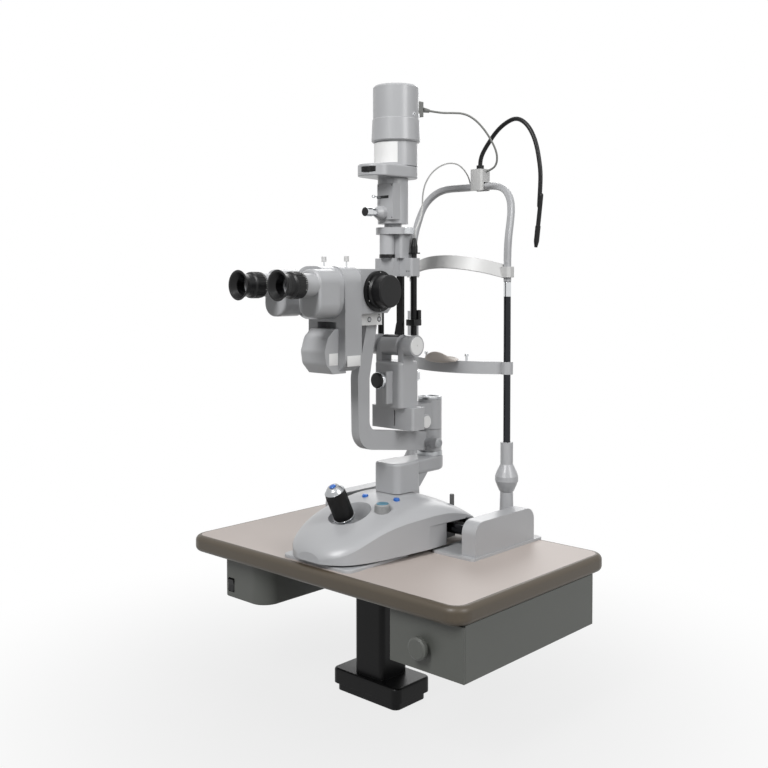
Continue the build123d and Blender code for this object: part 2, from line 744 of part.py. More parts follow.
# The lift: a chrome tube, the pedestal with its rear arm, and the pivot post
with BuildPart() as lift_tube:
    add(rod((0, lift_y, block_low + 2), (0, lift_y, pedestal_low), lift_radius))
lift_tube.part.label = "lift_tube"
export_step(lift_tube.part, "parts/lift_tube.step")

with BuildPart() as pedestal:
    with BuildSketch(Plane.XY.offset(arm_low)):
        with Locations((0, pivot_y)):
            Circle(pivot_end)
        with Locations((0, (lift_y + pivot_y) / 2)):
            Rectangle(2 * pivot_end, pivot_y - lift_y)
    extrude(amount=pedestal_top - arm_low)
    fillet(pedestal.faces().sort_by(Axis.Z)[0].edges().filter_by(GeomType.CIRCLE), 7)
    with BuildSketch(Plane.XY.offset(pedestal_low)):
        with Locations((0, lift_y)):
            RectangleRounded(block_width, block_depth, pedestal_corner)
    extrude(amount=pedestal_top - pedestal_low)
    add(
        side_plate(
            4 - pivot_end, pivot_end - 4,
            [(lift_y, pedestal_low + 3), (lift_y + 36, pedestal_low + 3), (lift_y + 56, arm_low + 1),
             (lift_y, arm_low + 1)],
        )
    )
    fillet(pedestal.faces().sort_by(Axis.Z)[-1].edges(), 4)
pedestal.part.label = "pedestal"
export_step(pedestal.part, "parts/pedestal.step")

with BuildPart() as pivot_post:
    add(
        turned(
            (0, pivot_y, 0), (0, 0, 1),
            [
                (0, pedestal_top), (pivot_flange, pedestal_top),
                (pivot_flange, pedestal_top + flange_thick - 1),
                (pivot_flange - 1, pedestal_top + flange_thick),
                (pivot_radius, pedestal_top + flange_thick), (pivot_radius, pivot_high),
                (cap_radius, pivot_high), (cap_radius, pivot_high + cap_thick),
                (cap_radius - 4, pivot_high + cap_thick), (cap_radius - 5, pivot_high + 2),
                (0, pivot_high + 2),
            ],
        )
    )
pivot_post.part.label = "pivot_post"
export_step(pivot_post.part, "parts/pivot_post.step")

# The microscope arm: a hub on the pivot and a swan-necked rib up to the slide block
scope_hub_low = pedestal_top + flange_thick + hub_gap
with BuildPart() as scope_arm:
    add(
        side_plate(
            -scope_thick / 2, scope_thick / 2,
            [
                (pivot_y, scope_hub_low), (-58, 404), (-60, 518), (-40, slide_low),
                (-17, slide_low), (-34, 514), (-34, 432), (pivot_y, scope_hub_high - 5),
            ],
            {(-58, 404): 34, (-34, 432): 16, (-60, 518): 30, (-34, 514): 24},
        )
    )
    add(rod((0, pivot_y, scope_hub_low), (0, pivot_y, scope_hub_high), hub_radius))
    add(
        rod((0, pivot_y, scope_hub_low - 1), (0, pivot_y, scope_hub_high + 1), pivot_radius + run_gap),
        mode=Mode.SUBTRACT,
    )
    add(rod((8, pivot_y - 16, 397), (19, pivot_y - 16, 397), 7))
    add(
        rod((0, pivot_y, scope_hub_low - 1), (0, pivot_y, scope_hub_high + 1), pivot_radius + run_gap),
        mode=Mode.SUBTRACT,
    )
    add(rod((10, pivot_y - 16, 397), (20, pivot_y - 16, 397), 3 + run_gap), mode=Mode.SUBTRACT)
scope_arm.part.label = "scope_arm"
export_step(scope_arm.part, "parts/scope_arm.step")


def lock_knob(start, shank_end, head_start, head_end, radius):
    """A thumb knob on a plain shank, along +X."""
    length, head_low, head_high = shank_end - start[0], head_start - start[0], head_end - start[0]
    return turned(
        start, (1, 0, 0),
        [
            (0, 0), (3, 0), (3, length), (radius - 1, head_low), (radius, head_low + 1),
            (radius, head_high - 2), (radius - 2, head_high), (0, head_high),
        ],
    )


with BuildPart() as scope_lock:
    add(lock_knob((10.5, pivot_y - 16, 397), 19.3, 19.3, 35, 9))
scope_lock.part.label = "scope_lock"
export_step(scope_lock.part, "parts/scope_lock.step")

# The microscope body: the magnification housing on its slide block
with BuildPart() as microscope_body:
    add(
        block(
            (-slide_half, slide_half), (slide_front, slide_back), (slide_low, housing_low), 2,
        )
    )
    add(
        side_plate(
            -housing_half, housing_half,
            [
                (housing_front, housing_low), (housing_back - 20, housing_low),
                (housing_back, housing_low + 18), (housing_back, housing_top - 14),
                (housing_back - 11, housing_top), (housing_front, housing_top),
            ],
        )
    )
    for sign in (1, -1):
        add(
            rod(
                (sign * (housing_half - 1), drum_y, drum_z),
                (sign * (housing_half + flange_reach), drum_y, drum_z), drum_flange,
            )
        )
        add(
            rod((sign * 14, housing_back - 2, drum_z), (sign * 14, housing_back + 1, drum_z), 11)
        )
    add(
        rod((-60, drum_y, drum_z), (60, drum_y, drum_z), drum_shaft + run_gap), mode=Mode.SUBTRACT
    )
microscope_body.part.label = "microscope_body"
export_step(microscope_body.part, "parts/microscope_body.step")

drum_start = housing_half + flange_reach + seat_gap
with BuildPart() as magnification_drum:
    add(rod((-drum_start, drum_y, drum_z), (drum_start, drum_y, drum_z), drum_shaft))
    for sign in (1, -1):
        add(
            turned(
                (sign * drum_start, drum_y, drum_z), (sign, 0, 0),
                [
                    (0, 0), (drum_radius + 2, 0), (drum_radius, 4), (drum_radius, drum_reach - 2),
                    (drum_radius - 2, drum_reach), (0, drum_reach),
                ],
            )
        )
magnification_drum.part.label = "magnification_drum"
export_step(magnification_drum.part, "parts/magnification_drum.step")

# The binocular head, with its side strips and the round-bottomed module under it
with BuildPart() as binocular_head:
    with BuildSketch(Plane.XZ.offset(-head_front)):
        with Locations((0, (head_low + head_top) / 2)):
            RectangleRounded(2 * head_half - 4, head_top - head_low, 30)
    extrude(amount=head_front - housing_front)
    with BuildSketch(Plane.XZ.offset(119)):
        with Locations((0, (530 + head_top) / 2)):
            RectangleRounded(2 * head_half, head_top - 530, 24)
    extrude(amount=-(119 + housing_front))
    with BuildSketch(Plane.XZ.offset(100)):
        with Locations((0, 590)):
            Rectangle(40, 30)
    extrude(amount=20, mode=Mode.SUBTRACT)
    add(
        side_plate(
            -26, 26,
            [
                (-104, 528), (-131, 528), (-145, 543), (-148, 562), (-141, 583), (-127, 595),
                (-104, 595),
            ],
            {(-145, 543): 12, (-148, 562): 12, (-141, 583): 14},
        )
    )
    for sign in (1, -1):
        add(
            rod(
                (sign * prism_x, head_front - 1, prism_z),
                (sign * prism_x, head_front + spigot_length + 1, prism_z), spigot_radius + run_gap,
            ),
            mode=Mode.SUBTRACT,
        )
        lever = sign * lever_x
        add(rod((lever, lever_y, head_top - 6), (lever, lever_y, head_top + 8), 1.2))
        add(rod((lever, lever_y, head_top + 7), (lever, lever_y, head_top + 15), 3.8))
binocular_head.part.label = "binocular_head"
export_step(binocular_head.part, "parts/binocular_head.step")

# Two prism housings that swing for the eye distance, with their tubes and focus rings
for side, sign in (("right", 1), ("left", -1)):
    prism_back = head_front - seat_gap
    with BuildPart() as prism_box:
        with BuildSketch(Plane.XZ.offset(-prism_back)):
            with Locations((sign * (eye_x + prism_x) / 2, (eye_z + prism_low_z) / 2)):
                RectangleRounded(2 * prism_radius, eye_z - prism_low_z + 2 * prism_radius, 20)
        extrude(amount=prism_back - prism_front)
        fillet(prism_box.faces().sort_by(Axis.Y)[0].edges(), 4)
        add(
            rod(
                (sign * prism_x, prism_back, prism_z),
                (sign * prism_x, prism_back + spigot_length, prism_z), spigot_radius,
            )
        )
        add(rod((sign * eye_x, prism_front + 5, eye_z), (sign * eye_x, tube_end, eye_z), tube_radius))
        add(
            rod((sign * eye_x, tube_end, eye_z), (sign * eye_x, ring_end, eye_z), tube_radius - 3)
        )
        add(
            rod((sign * eye_x, ring_end - 1, eye_z), (sign * eye_x, prism_front + 10, eye_z), eye_bore - 2),
            mode=Mode.SUBTRACT,
        )
    prism_box.part.label = f"prism_box_{side}"
    export_step(prism_box.part, f"parts/prism_box_{side}.step")

    reach = tube_end - cup_end
    with BuildPart() as focus_ring:
        add(
            turned(
                (sign * eye_x, tube_end - seat_gap, eye_z), (0, -1, 0),
                [
                    (tube_radius - 3 + run_gap, 0), (ring_radius, 0), (ring_radius, tube_end - ring_end),
                    (cup_neck, tube_end - ring_end + 2), (cup_neck, reach - 12),
                    (cup_radius - 3, reach - 4), (cup_radius, reach), (cup_radius - 3, reach),
                    (eye_bore, reach - 8), (eye_bore, tube_end - ring_end + 1),
                    (tube_radius - 3 + run_gap, tube_end - ring_end + 1),
                ],
            )
        )
    focus_ring.part.label = f"focus_ring_{side}"
    export_step(focus_ring.part, f"parts/focus_ring_{side}.step")

# The lamp arm: a tall hub on the pivot, a rib and the foot that carries the tower
lamp_hub_low = scope_hub_high + 2 * hub_gap
with BuildPart() as lamp_arm:
    add(
        block(
            (-foot_half, foot_half), (foot_front, foot_back), (foot_low, foot_top), 4,
        )
    )
    add(block((-rib_half, rib_half), (foot_back - 2, pivot_y - 12), (foot_low, foot_top)))
    add(rod((0, pivot_y, lamp_hub_low), (0, pivot_y, lamp_hub_high), hub_radius))
    add(
        rod((0, pivot_y, lamp_hub_low - 1), (0, pivot_y, lamp_hub_high + 1), pivot_radius + run_gap),
        mode=Mode.SUBTRACT,
    )
    add(rod((12, 69, 437), (23, 69, 437), 8))
    add(rod((12, 69, 437), (24, 69, 437), 3 + run_gap), mode=Mode.SUBTRACT)
    with BuildSketch(Plane.XZ.offset(-foot_front)):
        with Locations((6, (foot_low + foot_top) / 2)):
            Rectangle(3, foot_top - foot_low - 10)
    extrude(amount=-5, mode=Mode.SUBTRACT)
lamp_arm.part.label = "lamp_arm"
export_step(lamp_arm.part, "parts/lamp_arm.step")

with BuildPart() as lamp_lock:
    add(lock_knob((12.5, 69, 437), 23.3, 23.3, 38, 12.5))
lamp_lock.part.label = "lamp_lock"
export_step(lamp_lock.part, "parts/lamp_lock.step")

# The tower's lower body: two cheeks round the tilt axle, and the slit knob's box
cheek_half, cheek_thick = lower_half, 12
slit_knob_z, slit_knob_radius, slit_knob_front = 508, 12.5, -12
with BuildPart() as tower_base:
    add(block((-lower_half, lower_half), (lower_front, lower_back), (foot_top, lower_top - 8), 8))
    fillet(tower_base.faces().sort_by(Axis.Z)[-1].edges(), 5)
    for sign in (1, -1):
        cheek = sorted((sign * (lower_half - cheek_thick), sign * lower_half))
        add(block(cheek, (tilt_y - 12, tilt_y + 12), (lower_top - 30, tilt_z)))
        add(rod((cheek[0], tilt_y, tilt_z), (cheek[1], tilt_y, tilt_z), 12))
    add(block((2, 12), (lower_front - 14, lower_front + 4), (470, 522), 3))
    add(
        rod((-60, tilt_y, tilt_z), (60, tilt_y, tilt_z), tilt_pin + run_gap), mode=Mode.SUBTRACT
    )
    add(
        rod((0, lower_front + 8, slit_knob_z), (0, -20, slit_knob_z), 3 + run_gap),
        mode=Mode.SUBTRACT,
    )
tower_base.part.label = "tower_base"
export_step(tower_base.part, "parts/tower_base.step")

with BuildPart() as slit_width_knob:
    add(
        turned(
            (0, lower_front + 7, slit_knob_z), (0, -1, 0),
            [
                (0, 0), (3, 0), (3, 22), (slit_knob_radius - 1, 22), (slit_knob_radius, 23),
                (slit_knob_radius, 32), (slit_knob_radius - 2, 34), (0, 34),
            ],
        )
    )
slit_width_knob.part.label = "slit_width_knob"
export_step(slit_width_knob.part, "parts/slit_width_knob.step")

# The tilting frame: axle drum, two struts and the bridge under the optics
axle_gap = 0.3
with BuildPart() as tower_frame:
    middle = lower_half - cheek_thick - axle_gap
    add(rod((tilt_left, tilt_y, tilt_z), (tilt_right, tilt_y, tilt_z), tilt_pin))
    add(rod((-middle, tilt_y, tilt_z), (middle, tilt_y, tilt_z), tilt_radius))
    for sign, end in ((1, tilt_right), (-1, -tilt_left)):
        start = (sign * (lower_half + axle_gap), tilt_y, tilt_z)
        add(rod(start, (sign * end, tilt_y, tilt_z), tilt_radius))
        add(
            rod(
                (sign * (lower_half + 6), strut_y, tilt_z), (sign * (lower_half + 6), strut_y, strut_top),
                strut_radius,
            )
        )
    add(
        block(
            (-bridge_half - 5, bridge_half + 5), (bridge_front, bridge_back),
            (bridge_low, bridge_top), 4,
        )
    )
    add(block((-15, 15), (14, bridge_front + 2), (bridge_low, bridge_top)))
    add(block((-6, 6), (44, 50), (tilt_z + 12, bridge_low)))
    with BuildSketch(Plane(origin=(0, 46, 588), x_dir=(1, 0, 0), z_dir=(0, -1, 0.25))):
        RectangleRounded(16, 20, 2)
    extrude(amount=3)
tower_frame.part.label = "tower_frame"
export_step(tower_frame.part, "parts/tower_frame.step")

with BuildPart() as tower_lens:
    add(
        turned(
            (0, barrel_y, 0), (0, 0, 1),
            [
                (0, 662), (9, 662), (11, 664), (11, 667), (9, 668), (11, 669), (11, bridge_low),
                (0, bridge_low),
            ],
        )
    )
tower_lens.part.label = "tower_lens"
export_step(tower_lens.part, "parts/tower_lens.step")

# The slit body on its barrel, rear housing and ring plate
length_knob_z = 775
with BuildPart() as slit_body:
    add(rod((0, barrel_y, bridge_top), (0, barrel_y, plate_z), barrel_radius))
    add(block((-16, 24), (22, 58), (bridge_top, plate_z), 4))
    with BuildSketch(Plane.XY.offset(plate_z)):
        with Locations((0, slit_y)):
            Circle(slit_radius + 3)
        with Locations((25, 36)):
            Circle(9)
    extrude(amount=plate_top - plate_z)
    add(rod((0, slit_y, plate_top), (0, slit_y, slit_low), 14))
    add(rod((0, slit_y, slit_low), (0, slit_y, slit_top), slit_radius))
    with BuildSketch(Plane.XY.offset(slit_low + 6)):
        with Locations((6, slit_y - 12)):
            Rectangle(34, 26)
    extrude(amount=slit_top - slit_low - 16)
    add(
        turned(
            (0, 10, length_knob_z), (0, -1, 0), [(0, 0), (11, 0), (11, 14), (7, 22), (0, 22)],
        )
    )
    add(
        rod((0, 12, length_knob_z), (0, -13, length_knob_z), 2.5 + run_gap), mode=Mode.SUBTRACT
    )
    with BuildSketch(Plane.XZ.offset(-3)):
        with Locations((-2, 800)):
            Rectangle(14, 4)
    extrude(amount=-6, mode=Mode.SUBTRACT)
slit_body.part.label = "slit_body"
export_step(slit_body.part, "parts/slit_body.step")

with BuildPart() as slit_length_knob:
    add(
        turned(
            (0, 10.5, length_knob_z), (0, -1, 0),
            [
                (0, 0), (2.5, 0), (2.5, 22.8), (6, 22.8), (6, 34), (7.3, 34), (7.3, 46),
                (0, 46),
            ],
        )
    )
slit_length_knob.part.label = "slit_length_knob"
export_step(slit_length_knob.part, "parts/slit_length_knob.step")

# The filter housing, with a notch at its nose for the finger wheel
wheel_x, wheel_y, wheel_r, wheel_low, wheel_high = 4, -23.5, 17, 837, 845
with BuildPart() as filter_housing:
    with BuildSketch(Plane.XY.offset(slit_top)):
        with Locations((0, filter_y)):
            Circle(filter_radius)
        with Locations((0, nose_y)):
            Circle(nose_radius)
        make_hull()
    extrude(amount=filter_top - slit_top)
    fillet(filter_housing.faces().sort_by(Axis.Z)[-1].edges(), 3)
    fillet(filter_housing.faces().sort_by(Axis.Z)[0].edges(), 2)
    add(
        rod((wheel_x, wheel_y, wheel_low - seat_gap), (wheel_x, wheel_y, wheel_high + seat_gap), wheel_r + 0.5),
        mode=Mode.SUBTRACT,
    )
    add(
        rod((wheel_x, wheel_y, slit_top + 1), (wheel_x, wheel_y, filter_top - 2), 2 + run_gap),
        mode=Mode.SUBTRACT,
    )
    add(rod((0, filter_y, filter_top), (0, filter_y, neck_lamp_top), neck_lamp_radius))
filter_housing.part.label = "filter_housing"
export_step(filter_housing.part, "parts/filter_housing.step")

with BuildPart() as filter_wheel:
    add(rod((wheel_x, wheel_y, wheel_low), (wheel_x, wheel_y, wheel_high), wheel_r))
    add(rod((wheel_x, wheel_y, slit_top + 1.2), (wheel_x, wheel_y, filter_top - 2.2), 2))
filter_wheel.part.label = "filter_wheel"
export_step(filter_wheel.part, "parts/filter_wheel.step")

# The lamp cap, and the plug at its back
plug_z, plug_half, plug_low, plug_high = 948, 12, 936, 960
plug_back, relief_back, cable_radius = 92, 108, 1.75
with BuildPart() as lamp_cap:
    add(
        turned(
            (0, filter_y, 0), (0, 0, 1),
            [
                (0, neck_lamp_top), (cap_low_radius - 2, neck_lamp_top),
                (cap_low_radius, neck_lamp_top + 2), (cap_top_radius + 1, 925),
                (cap_top_radius, 926), (cap_top_radius, cap_lamp_top - 3),
                (cap_top_radius - 3, cap_lamp_top), (0, cap_lamp_top),
            ],
        )
    )
    add(block((-plug_half, plug_half), (filter_y + 30, plug_back), (plug_low, plug_high), 3))
    add(
        turned(
            (plug_half - 4, plug_back, plug_z), (0, 1, 0),
            [(0, 0), (4.5, 0), (3, relief_back - plug_back), (0, relief_back - plug_back)],
        )
    )
lamp_cap.part.label = "lamp_cap"
export_step(lamp_cap.part, "parts/lamp_cap.step")

# The junction box on the arch, and the fixation lamp on its gooseneck
box_x, box_y, box_low, box_top_z, box_half = 21, 231, 823, 860, 13
with BuildPart() as junction_box:
    add(block((box_x - box_half, box_x + box_half), (box_y - 13, box_y + 13), (box_low, box_top_z), 4))
    add(
        block(
            (box_x - box_half - 1, box_x + box_half + 1),
            (box_y - arch_thick / 2 - 1.6, box_y + arch_thick / 2 + 1.6), (box_low - 1, 837.4),
        ),
        mode=Mode.SUBTRACT,
    )
    add(rod((box_x, box_y, box_top_z), (box_x, box_y, 867), 6.5))
    add(rod((box_x, box_y, box_top_z - 6), (box_x, box_y, 868), 2 + run_gap), mode=Mode.SUBTRACT)
junction_box.part.label = "junction_box"
export_step(junction_box.part, "parts/junction_box.step")

neck_y = box_y
neck_points = [
    (box_x, neck_y, 867.3), (23, neck_y, 880), (38, neck_y, 903), (57, neck_y, 923), (78, neck_y, 936),
    (98, neck_y, 940), (117, neck_y, 930), (131, neck_y, 911), (140, neck_y, 887),
    (145, neck_y, 862), (147, neck_y, 834), (145.5, neck_y, 792), (142, neck_y, 752),
    (137.5, neck_y, 723),
]
neck_radius_lamp = 3.75
with BuildPart() as fixation_lamp:
    with BuildLine() as neck_line:
        Spline(*neck_points[:-1], tangents=((0, 0, 1), (-0.12, 0, -1)))
    with BuildSketch(Plane(origin=neck_points[0], z_dir=(0, 0, 1))):
        Circle(neck_radius_lamp)
    sweep(path=neck_line.line)
    add(rod((box_x, neck_y, box_top_z - 5.5), (box_x, neck_y, 867.5), 2))
    tip_run = Vector(-0.12, 0, -1)
    add(
        turned(
            neck_points[-2], tuple(tip_run),
            [(0, -6), (4.5, -6), (4.5, 20), (2.5, 30), (0, 30)],
        )
    )
fixation_lamp.part.label = "fixation_lamp"
export_step(fixation_lamp.part, "parts/fixation_lamp.step")


def corner_radii(points, share=0.45):
    """One bend radius for each corner: as large as its two runs allow."""
    corners = [Vector(*point) for point in points]
    radii = []
    for before, corner, after in zip(corners, corners[1:], corners[2:]):
        turn = radians((corner - before).get_angle(after - corner))
        shorter = min((corner - before).length, (after - corner).length)
        radii.append(share * shorter / tan(turn / 2))
    return radii


def cable(points, radius):
    """A round cable along straight runs joined by tangent arcs."""
    radii = corner_radii(points)
    print("cable bend radii, mm:", [round(value, 1) for value in radii])
    with BuildPart() as work:
        with BuildLine() as route:
            FilletPolyline(*points, radius=radii)
        with BuildSketch(Plane(origin=points[0], z_dir=Vector(*points[1]) - Vector(*points[0]))):
            Circle(radius)
        sweep(path=route.line)
    length = sum(edge.length for edge in route.line.edges())
    share = work.part.volume / (length * pi * radius ** 2)
    print("cable length, mm:", round(length, 1), "share of its volume:", round(share, 4))
    return work.part


lamp_cable_points = [
    (plug_half - 4, relief_back + seat_gap, plug_z), (10, 120, 948), (16, 134, 947), (25, 150, 948),
    (36, 166, 948), (46, 182, 940), (55, 198, 923), (61, 212, 903), (63, 223, 885),
    (59, 229, 869), (49, 231, 859), (box_x + box_half + 0.4, box_y, 856),
]
with BuildPart() as lamp_cable:
    add(cable(lamp_cable_points, cable_radius))
lamp_cable.part.label = "lamp_cable"
export_step(lamp_cable.part, "parts/lamp_cable.step")

# The tower's own connector: a tapered plug on a small shelf, and its thin cable to the arch
tower_plug_x, tower_plug_y, shelf_z, tower_plug_top = 31, 46, 712, 735
with BuildPart() as tower_plug:
    add(block((24, tower_plug_x + 7), (tower_plug_y - 6, tower_plug_y + 6), (shelf_z - 2, shelf_z)))
    add(
        turned(
            (tower_plug_x, tower_plug_y, 0), (0, 0, 1),
            [
                (0, bridge_top), (4, bridge_top), (4, shelf_z), (5.5, shelf_z),
                (5.5, shelf_z + 10), (3, tower_plug_top), (0, tower_plug_top),
            ],
        )
    )
tower_plug.part.label = "tower_plug"
export_step(tower_plug.part, "parts/tower_plug.step")

tower_cable_radius = 1.25
tower_cable_points = [
    (tower_plug_x, tower_plug_y, tower_plug_top + seat_gap), (31, 47, 746), (32, 60, 765),
    (24, 74, 787), (12, 88, 808), (4, 104, 829), (1, 124, 848), (1, 146, 861), (2, 169, 868),
    (2, 192, 868), (1, 211, 860), (0, 223, 850), (-1, 229, 842), (-1, box_y, 837),
]
with BuildPart() as tower_cable:
    add(cable(tower_cable_points, tower_cable_radius))
tower_cable.part.label = "tower_cable"
export_step(tower_cable.part, "parts/tower_cable.step")
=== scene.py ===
# %% [markdown]
# A slit lamp on its instrument table
# The finished look of an eye examiner's microscope, lamp tower, headrest and table. The frame
# brings every machined piece at its real size, so this script gives them their finishes, adds
# the small fittings that are easier to make as meshes, and sets the light and the camera.

# %% Load the frame
import json
from math import cos, radians, sin

import bmesh
import bpy
from mathutils import Matrix, Vector


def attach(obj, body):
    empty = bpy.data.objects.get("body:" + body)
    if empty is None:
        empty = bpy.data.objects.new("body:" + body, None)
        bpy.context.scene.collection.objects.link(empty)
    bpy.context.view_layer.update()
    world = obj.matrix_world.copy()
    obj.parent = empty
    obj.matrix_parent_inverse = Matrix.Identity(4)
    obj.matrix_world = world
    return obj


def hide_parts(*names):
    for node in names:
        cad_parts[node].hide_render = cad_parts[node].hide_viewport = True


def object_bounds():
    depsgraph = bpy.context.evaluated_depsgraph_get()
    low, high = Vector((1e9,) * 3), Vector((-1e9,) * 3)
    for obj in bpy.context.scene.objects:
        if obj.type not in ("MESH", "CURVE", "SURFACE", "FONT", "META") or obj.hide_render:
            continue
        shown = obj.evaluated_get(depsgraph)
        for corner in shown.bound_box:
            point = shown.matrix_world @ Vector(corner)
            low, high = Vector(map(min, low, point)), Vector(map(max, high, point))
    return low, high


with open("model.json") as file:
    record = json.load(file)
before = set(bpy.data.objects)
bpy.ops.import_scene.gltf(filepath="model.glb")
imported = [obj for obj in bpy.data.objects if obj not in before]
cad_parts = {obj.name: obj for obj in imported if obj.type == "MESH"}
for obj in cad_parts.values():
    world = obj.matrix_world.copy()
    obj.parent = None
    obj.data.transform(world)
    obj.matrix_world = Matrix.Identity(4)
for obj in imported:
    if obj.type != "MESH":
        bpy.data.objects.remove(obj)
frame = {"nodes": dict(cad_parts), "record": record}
cad_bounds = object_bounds()
nodes = frame["nodes"]
MM = 0.001
print("pieces in the frame:", len(nodes))

# %% [markdown]
# The camera
# The photograph is taken from the examiner's right, a little above the eyepieces, with a
# normal lens. The optical axis isn't in the middle of the picture, which the small shift
# repeats, so that upright edges stay upright in the render as they do in the photograph.

# %% Camera
PHOTO_SIDE = 768
FOCAL_PIXELS = 1007
AXIS_PIXEL = (400, 314)
CAMERA_PLACE = (1.1024, -1.1699, 0.6724)
CAMERA_YAW, CAMERA_PITCH = 42.2, 2.09
SENSOR = 36

lens_data = bpy.data.cameras.new("photo_camera")
lens_data.sensor_width = SENSOR
lens_data.lens = FOCAL_PIXELS / PHOTO_SIDE * SENSOR
lens_data.shift_x = (PHOTO_SIDE / 2 - AXIS_PIXEL[0]) / PHOTO_SIDE
lens_data.shift_y = (AXIS_PIXEL[1] - PHOTO_SIDE / 2) / PHOTO_SIDE
camera = bpy.data.objects.new("photo_camera", lens_data)
camera.location = CAMERA_PLACE
camera.rotation_euler = (radians(90 - CAMERA_PITCH), 0, radians(CAMERA_YAW))
bpy.context.collection.objects.link(camera)
bpy.context.scene.camera = camera
bpy.context.scene.view_settings.view_transform = "Standard"
print("lens, mm:", round(lens_data.lens, 1))

# %% [markdown]
# Floor and light
# The floor is one large plane that reads as white to the camera, as in a catalogue picture,
# and still takes a faint shadow. The plane itself is grey, so that it throws little light back
# on the underside of the table. The light is soft: a tall panel in front and above, which
# draws the bright streak down the lamp cap, a wider one on the right, two weak ones behind and
# above, and a pale world that fills the rest.

# %% Socket arithmetic for shaders
class Term:
    """An output of a shader tree that can be added, multiplied and so on."""

    def __init__(self, finish, socket):
        self.finish, self.socket = finish, socket

    def _math(self, operation, first, second):
        return self.finish.node("ShaderNodeMath", {"operation": operation}, {0: first, 1: second})

    def __add__(self, other):
        return self._math("ADD", self, other)

    def __mul__(self, other):
        return self._math("MULTIPLY", self, other)

    __radd__ = __add__
    __rmul__ = __mul__


class Finish:
    """A material under construction. node() adds any node and returns its output."""

    def __init__(self, name):
        self.material = bpy.data.materials.new(name)
        self.material.use_nodes = True
        self.tree = self.material.node_tree
        self.shader = self.tree.nodes["Principled BSDF"]

    def node(self, kind, settings=None, inputs=None, output=0):
        made = self.tree.nodes.new(kind)
        for key, value in (settings or {}).items():
            if key == "stops":
                for stop, (place, colour) in zip(made.color_ramp.elements, value):
                    stop.position, stop.color = place, colour
            else:
                setattr(made, key, value)
        for key, value in (inputs or {}).items():
            self.plug(made.inputs[key], value)
        return Term(self, made.outputs[output])

    def plug(self, socket, value):
        if isinstance(value, Term):
            self.tree.links.new(value.socket, socket)
        else:
            socket.default_value = value

    def set(self, **values):
        for key, value in values.items():
            self.plug(self.shader.inputs[key.replace("_", " ")], value)


def tone(red, green, blue):
    """A colour from the screen's 0 to 255 values, as linear light."""
    def linear(value):
        share = value / 255
        return share / 12.92 if share <= 0.04045 else ((share + 0.055) / 1.055) ** 2.4
    return (linear(red), linear(green), linear(blue), 1)


# %% Floor, world and lamps
FLOOR_SIZE = 14
FLOOR_Z = cad_bounds[0][2] - 0.0005
SHADOW_FROM, SHADOW_TO = 0.15, 0.9
LEAST_WHITE = 0.80
bpy.ops.mesh.primitive_plane_add(size=FLOOR_SIZE, location=(0, 0, FLOOR_Z))
floor = bpy.context.object
floor.name = "pale_floor"
floor_finish = Finish("pale_floor")
floor_finish.set(Base_Color=tone(128, 128, 127), Roughness=0.9)
paper = floor_finish.node("ShaderNodeEmission", {}, {"Color": (1, 1, 1, 1), "Strength": 1.0})
middle = floor_finish.node("ShaderNodeTexCoord", output=3)
from_middle = floor_finish.node("ShaderNodeVectorMath", {"operation": "LENGTH"}, {0: middle},
                                output=1)
far = floor_finish.node(
    "ShaderNodeMapRange", {"interpolation_type": "SMOOTHSTEP"},
    {"Value": from_middle, "From Min": SHADOW_FROM, "From Max": SHADOW_TO,
     "To Min": LEAST_WHITE, "To Max": 1.0},
)
seen = floor_finish.node("ShaderNodeLightPath")
mirrored = floor_finish.node("ShaderNodeLightPath", output=3)
through = floor_finish.node("ShaderNodeLightPath", output=6)
either = floor_finish.node("ShaderNodeMath", {"operation": "MAXIMUM"}, {0: seen, 1: mirrored})
any_way = floor_finish.node("ShaderNodeMath", {"operation": "MAXIMUM"}, {0: either, 1: through})
shown = floor_finish.node("ShaderNodeMixShader", {}, {
    0: any_way * far, 1: Term(floor_finish, floor_finish.shader.outputs[0]), 2: paper,
})
floor_finish.tree.links.new(
    shown.socket, floor_finish.tree.nodes["Material Output"].inputs["Surface"]
)
floor.data.materials.append(floor_finish.material)

world = bpy.data.worlds.new("studio")
bpy.context.scene.world = world
world.use_nodes = True
world_tree = world.node_tree
backdrop = world_tree.nodes["Background"]
plain = world_tree.nodes.new("ShaderNodeBackground")
blend = world_tree.nodes.new("ShaderNodeMixShader")
path = world_tree.nodes.new("ShaderNodeLightPath")
seen_or_through = world_tree.nodes.new("ShaderNodeMath")
seen_or_through.operation = "MAXIMUM"
white_rays = world_tree.nodes.new("ShaderNodeMath")
white_rays.operation = "MAXIMUM"
backdrop.inputs["Color"].default_value = (0.82, 0.82, 0.83, 1)
backdrop.inputs["Strength"].default_value = 0.20
plain.inputs["Color"].default_value = (1, 1, 1, 1)
plain.inputs["Strength"].default_value = 1.0
world_tree.links.new(path.outputs["Is Camera Ray"], seen_or_through.inputs[0])
world_tree.links.new(path.outputs["Is Transmission Ray"], seen_or_through.inputs[1])
world_tree.links.new(seen_or_through.outputs[0], white_rays.inputs[0])
world_tree.links.new(path.outputs["Is Glossy Ray"], white_rays.inputs[1])
world_tree.links.new(white_rays.outputs[0], blend.inputs[0])
world_tree.links.new(backdrop.outputs[0], blend.inputs[1])
world_tree.links.new(plain.outputs[0], blend.inputs[2])
world_tree.links.new(blend.outputs[0], world_tree.nodes["World Output"].inputs["Surface"])


def panel_light(name, place, aim, width, height, power):
    """A soft rectangular lamp that points at aim."""
    data = bpy.data.lights.new(name, "AREA")
    data.shape = "RECTANGLE"
    data.size, data.size_y, data.energy = width, height, power
    lamp = bpy.data.objects.new(name, data)
    lamp.location = place
    lamp.rotation_euler = (Vector(aim) - Vector(place)).to_track_quat("-Z", "Y").to_euler()
    bpy.context.collection.objects.link(lamp)
    return lamp


